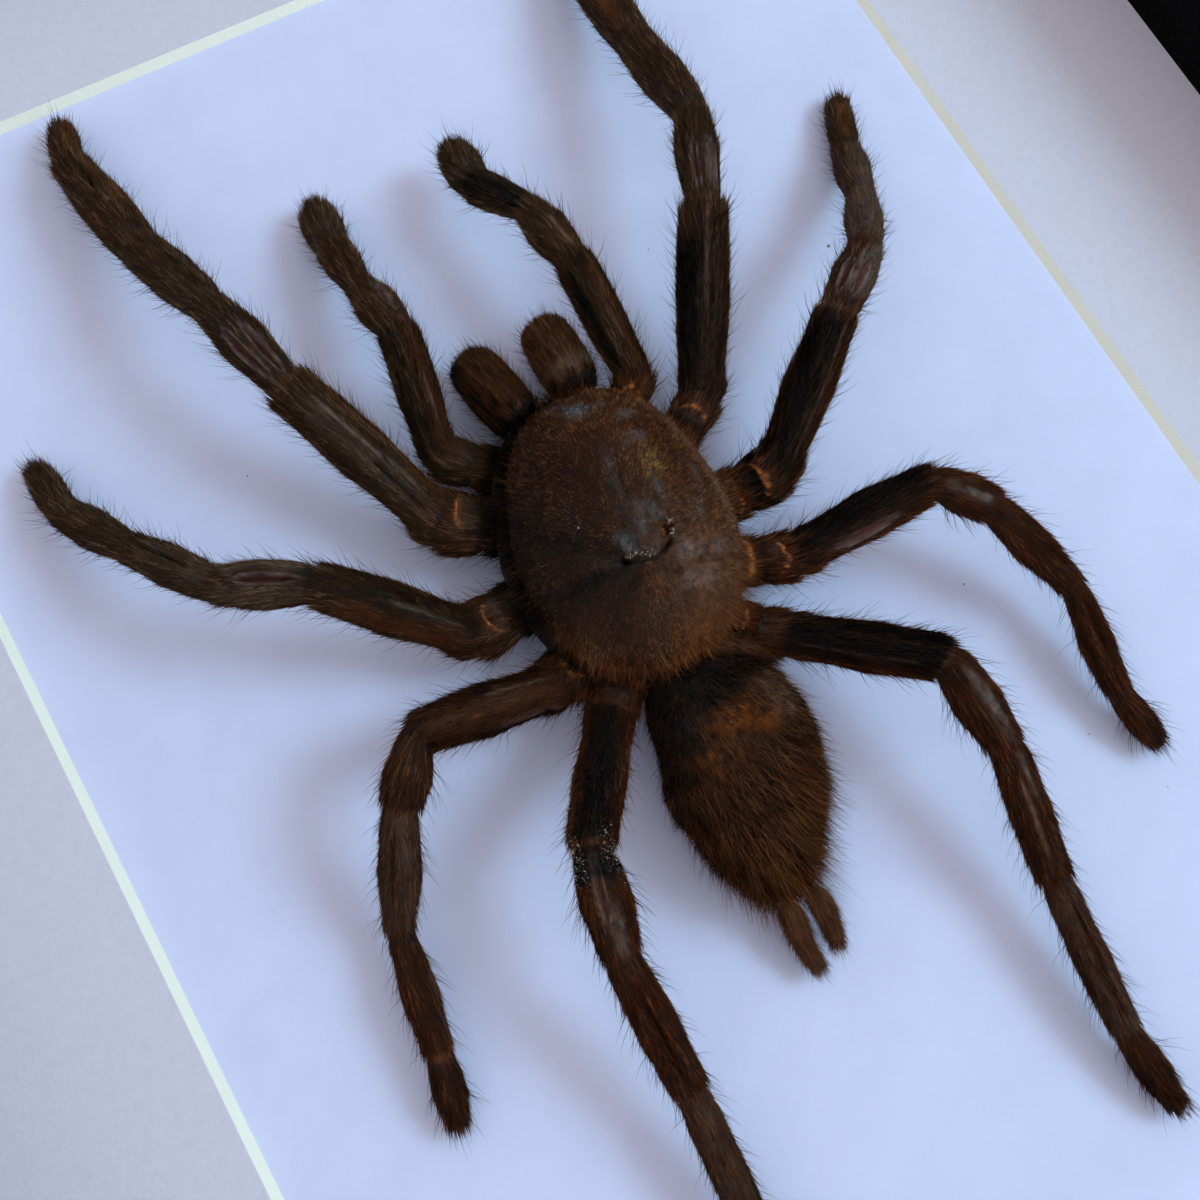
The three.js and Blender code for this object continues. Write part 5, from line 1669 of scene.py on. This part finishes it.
class SPECIMEN_OT_fittings(bpy.types.Operator):
    """Plate the tabs and the hanger"""
    bl_idname = "specimen.fittings"
    bl_label = "Tabs and Hanger"

    def execute(self, context):
        steel = zinc_plated_steel()
        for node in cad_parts:
            if node.startswith("tab_") or node == "hanger":
                dress(node, steel)
        return {"FINISHED"}


class SPECIMEN_OT_prosoma(bpy.types.Operator):
    """Grow the furred carapace"""
    bl_idname = "specimen.prosoma"
    bl_label = "Cephalothorax"

    def execute(self, context):
        build_prosoma(fur_materials())
        return {"FINISHED"}


class SPECIMEN_OT_chelicerae(bpy.types.Operator):
    """Grow the two fang-bearing lobes"""
    bl_idname = "specimen.chelicerae"
    bl_label = "Chelicerae"

    def execute(self, context):
        for number, side in enumerate(CHELICERAE):
            build_chelicera(side, 60 + number, fur_materials())
        return {"FINISHED"}


class SPECIMEN_OT_abdomen(bpy.types.Operator):
    """Grow the abdomen and its two long spinnerets"""
    bl_idname = "specimen.abdomen"
    bl_label = "Abdomen and Spinnerets"

    def execute(self, context):
        build_abdomen(fur_materials())
        for number, side in enumerate(SPINNERETS):
            build_spinneret(side, 70 + number, fur_materials())
        return {"FINISHED"}


class SPECIMEN_OT_limbs(bpy.types.Operator):
    """Grow the eight legs and the two pedipalps"""
    bl_idname = "specimen.limbs"
    bl_label = "Legs and Pedipalps"

    def execute(self, context):
        for number, name in enumerate(LIMBS):
            build_limb(name, 80 + 4 * number, fur_materials())
        return {"FINISHED"}


class SPECIMEN_OT_debris(bpy.types.Operator):
    """Strew a few specks of dust on the card"""
    bl_idname = "specimen.debris"
    bl_label = "Dust"

    def execute(self, context):
        build_debris(fur_materials())
        return {"FINISHED"}


FLOOR_HALF_WIDTH = 1.2  # metres
SENSOR_WIDTH = 36  # mm
NEAREST_SEEN = 0.01  # metres


def build_stage(scene, stage):
    """The floor under the frame, soft window light and fill, and the camera."""
    mesh = bpy.data.meshes.new("floor")
    half = FLOOR_HALF_WIDTH
    corners = [(-half, -half, 0), (half, -half, 0), (half, half, 0), (-half, half, 0)]
    mesh.from_pydata(corners, [], [(0, 1, 2, 3)])
    mesh.materials.append(studio_floor())
    place_object("floor", mesh)

    target = Vector((0, 0, CARD_TOP * MM))
    way = Vector(stage.key_way).normalized()
    lamp = bpy.data.lights.new("window_light", "AREA")
    lamp.size = stage.key_size
    lamp.energy = stage.key_power
    lamp.color = stage.key_colour
    key = bpy.data.objects.new("window_light", lamp)
    key.visible_glossy = False  # the coated glass shows no image of it
    key.matrix_world = Matrix.Translation(target + way * stage.key_distance) @ (
        way.to_track_quat("Z", "Y").to_matrix().to_4x4())
    scene.collection.objects.link(key)

    world = bpy.data.worlds.new("soft_room")
    world.use_nodes = True
    background = world.node_tree.nodes["Background"]
    background.inputs["Color"].default_value = (*stage.fill_colour, 1)
    background.inputs["Strength"].default_value = stage.fill_strength
    scene.world = world
    scene.view_settings.view_transform = "Standard"

    place = Vector(stage.camera_place)
    forward = (Vector(stage.camera_look) - place).normalized()
    right = forward.cross(Vector(stage.camera_up)).normalized()
    up = right.cross(forward)
    camera = bpy.data.cameras.new("camera")
    camera.lens = stage.lens
    camera.sensor_width = SENSOR_WIDTH
    camera.clip_start = NEAREST_SEEN
    holder = bpy.data.objects.new("camera", camera)
    axes = Matrix((right, up, -forward)).transposed()
    holder.matrix_world = Matrix.Translation(place) @ axes.to_4x4()
    scene.collection.objects.link(holder)
    scene.camera = holder


class SPECIMEN_PT_panel(bpy.types.Panel):
    """The steps that finish the framed specimen"""
    bl_idname = "SPECIMEN_PT_panel"
    bl_label = "Framed Tarantula"
    bl_space_type = "VIEW_3D"
    bl_region_type = "UI"
    bl_category = "Specimen"

    def draw(self, context):
        for step in STEPS:
            self.layout.operator(step.bl_idname)
        for group in (context.scene.specimen_stage, context.scene.specimen_fur):
            box = self.layout.box()
            for name in group.__annotations__:
                box.prop(group, name)


STEPS = (
    SPECIMEN_OT_stage, SPECIMEN_OT_box_frame, SPECIMEN_OT_boards, SPECIMEN_OT_glass,
    SPECIMEN_OT_fittings, SPECIMEN_OT_prosoma, SPECIMEN_OT_chelicerae, SPECIMEN_OT_abdomen,
    SPECIMEN_OT_limbs, SPECIMEN_OT_debris,
)
CLASSES = (SPECIMEN_StageSettings, SPECIMEN_FurSettings, *STEPS, SPECIMEN_PT_panel)


def register():
    for item in CLASSES:
        bpy.utils.register_class(item)
    bpy.types.Scene.specimen_stage = PointerProperty(type=SPECIMEN_StageSettings)
    bpy.types.Scene.specimen_fur = PointerProperty(type=SPECIMEN_FurSettings)


def unregister():
    del bpy.types.Scene.specimen_fur
    del bpy.types.Scene.specimen_stage
    for item in reversed(CLASSES):
        bpy.utils.unregister_class(item)


def main():
    """Registers the add-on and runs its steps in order."""
    register()
    for step in STEPS:
        family, name = step.bl_idname.split(".")
        getattr(getattr(bpy.ops, family), name)()


if __name__ == "__main__":
    main()
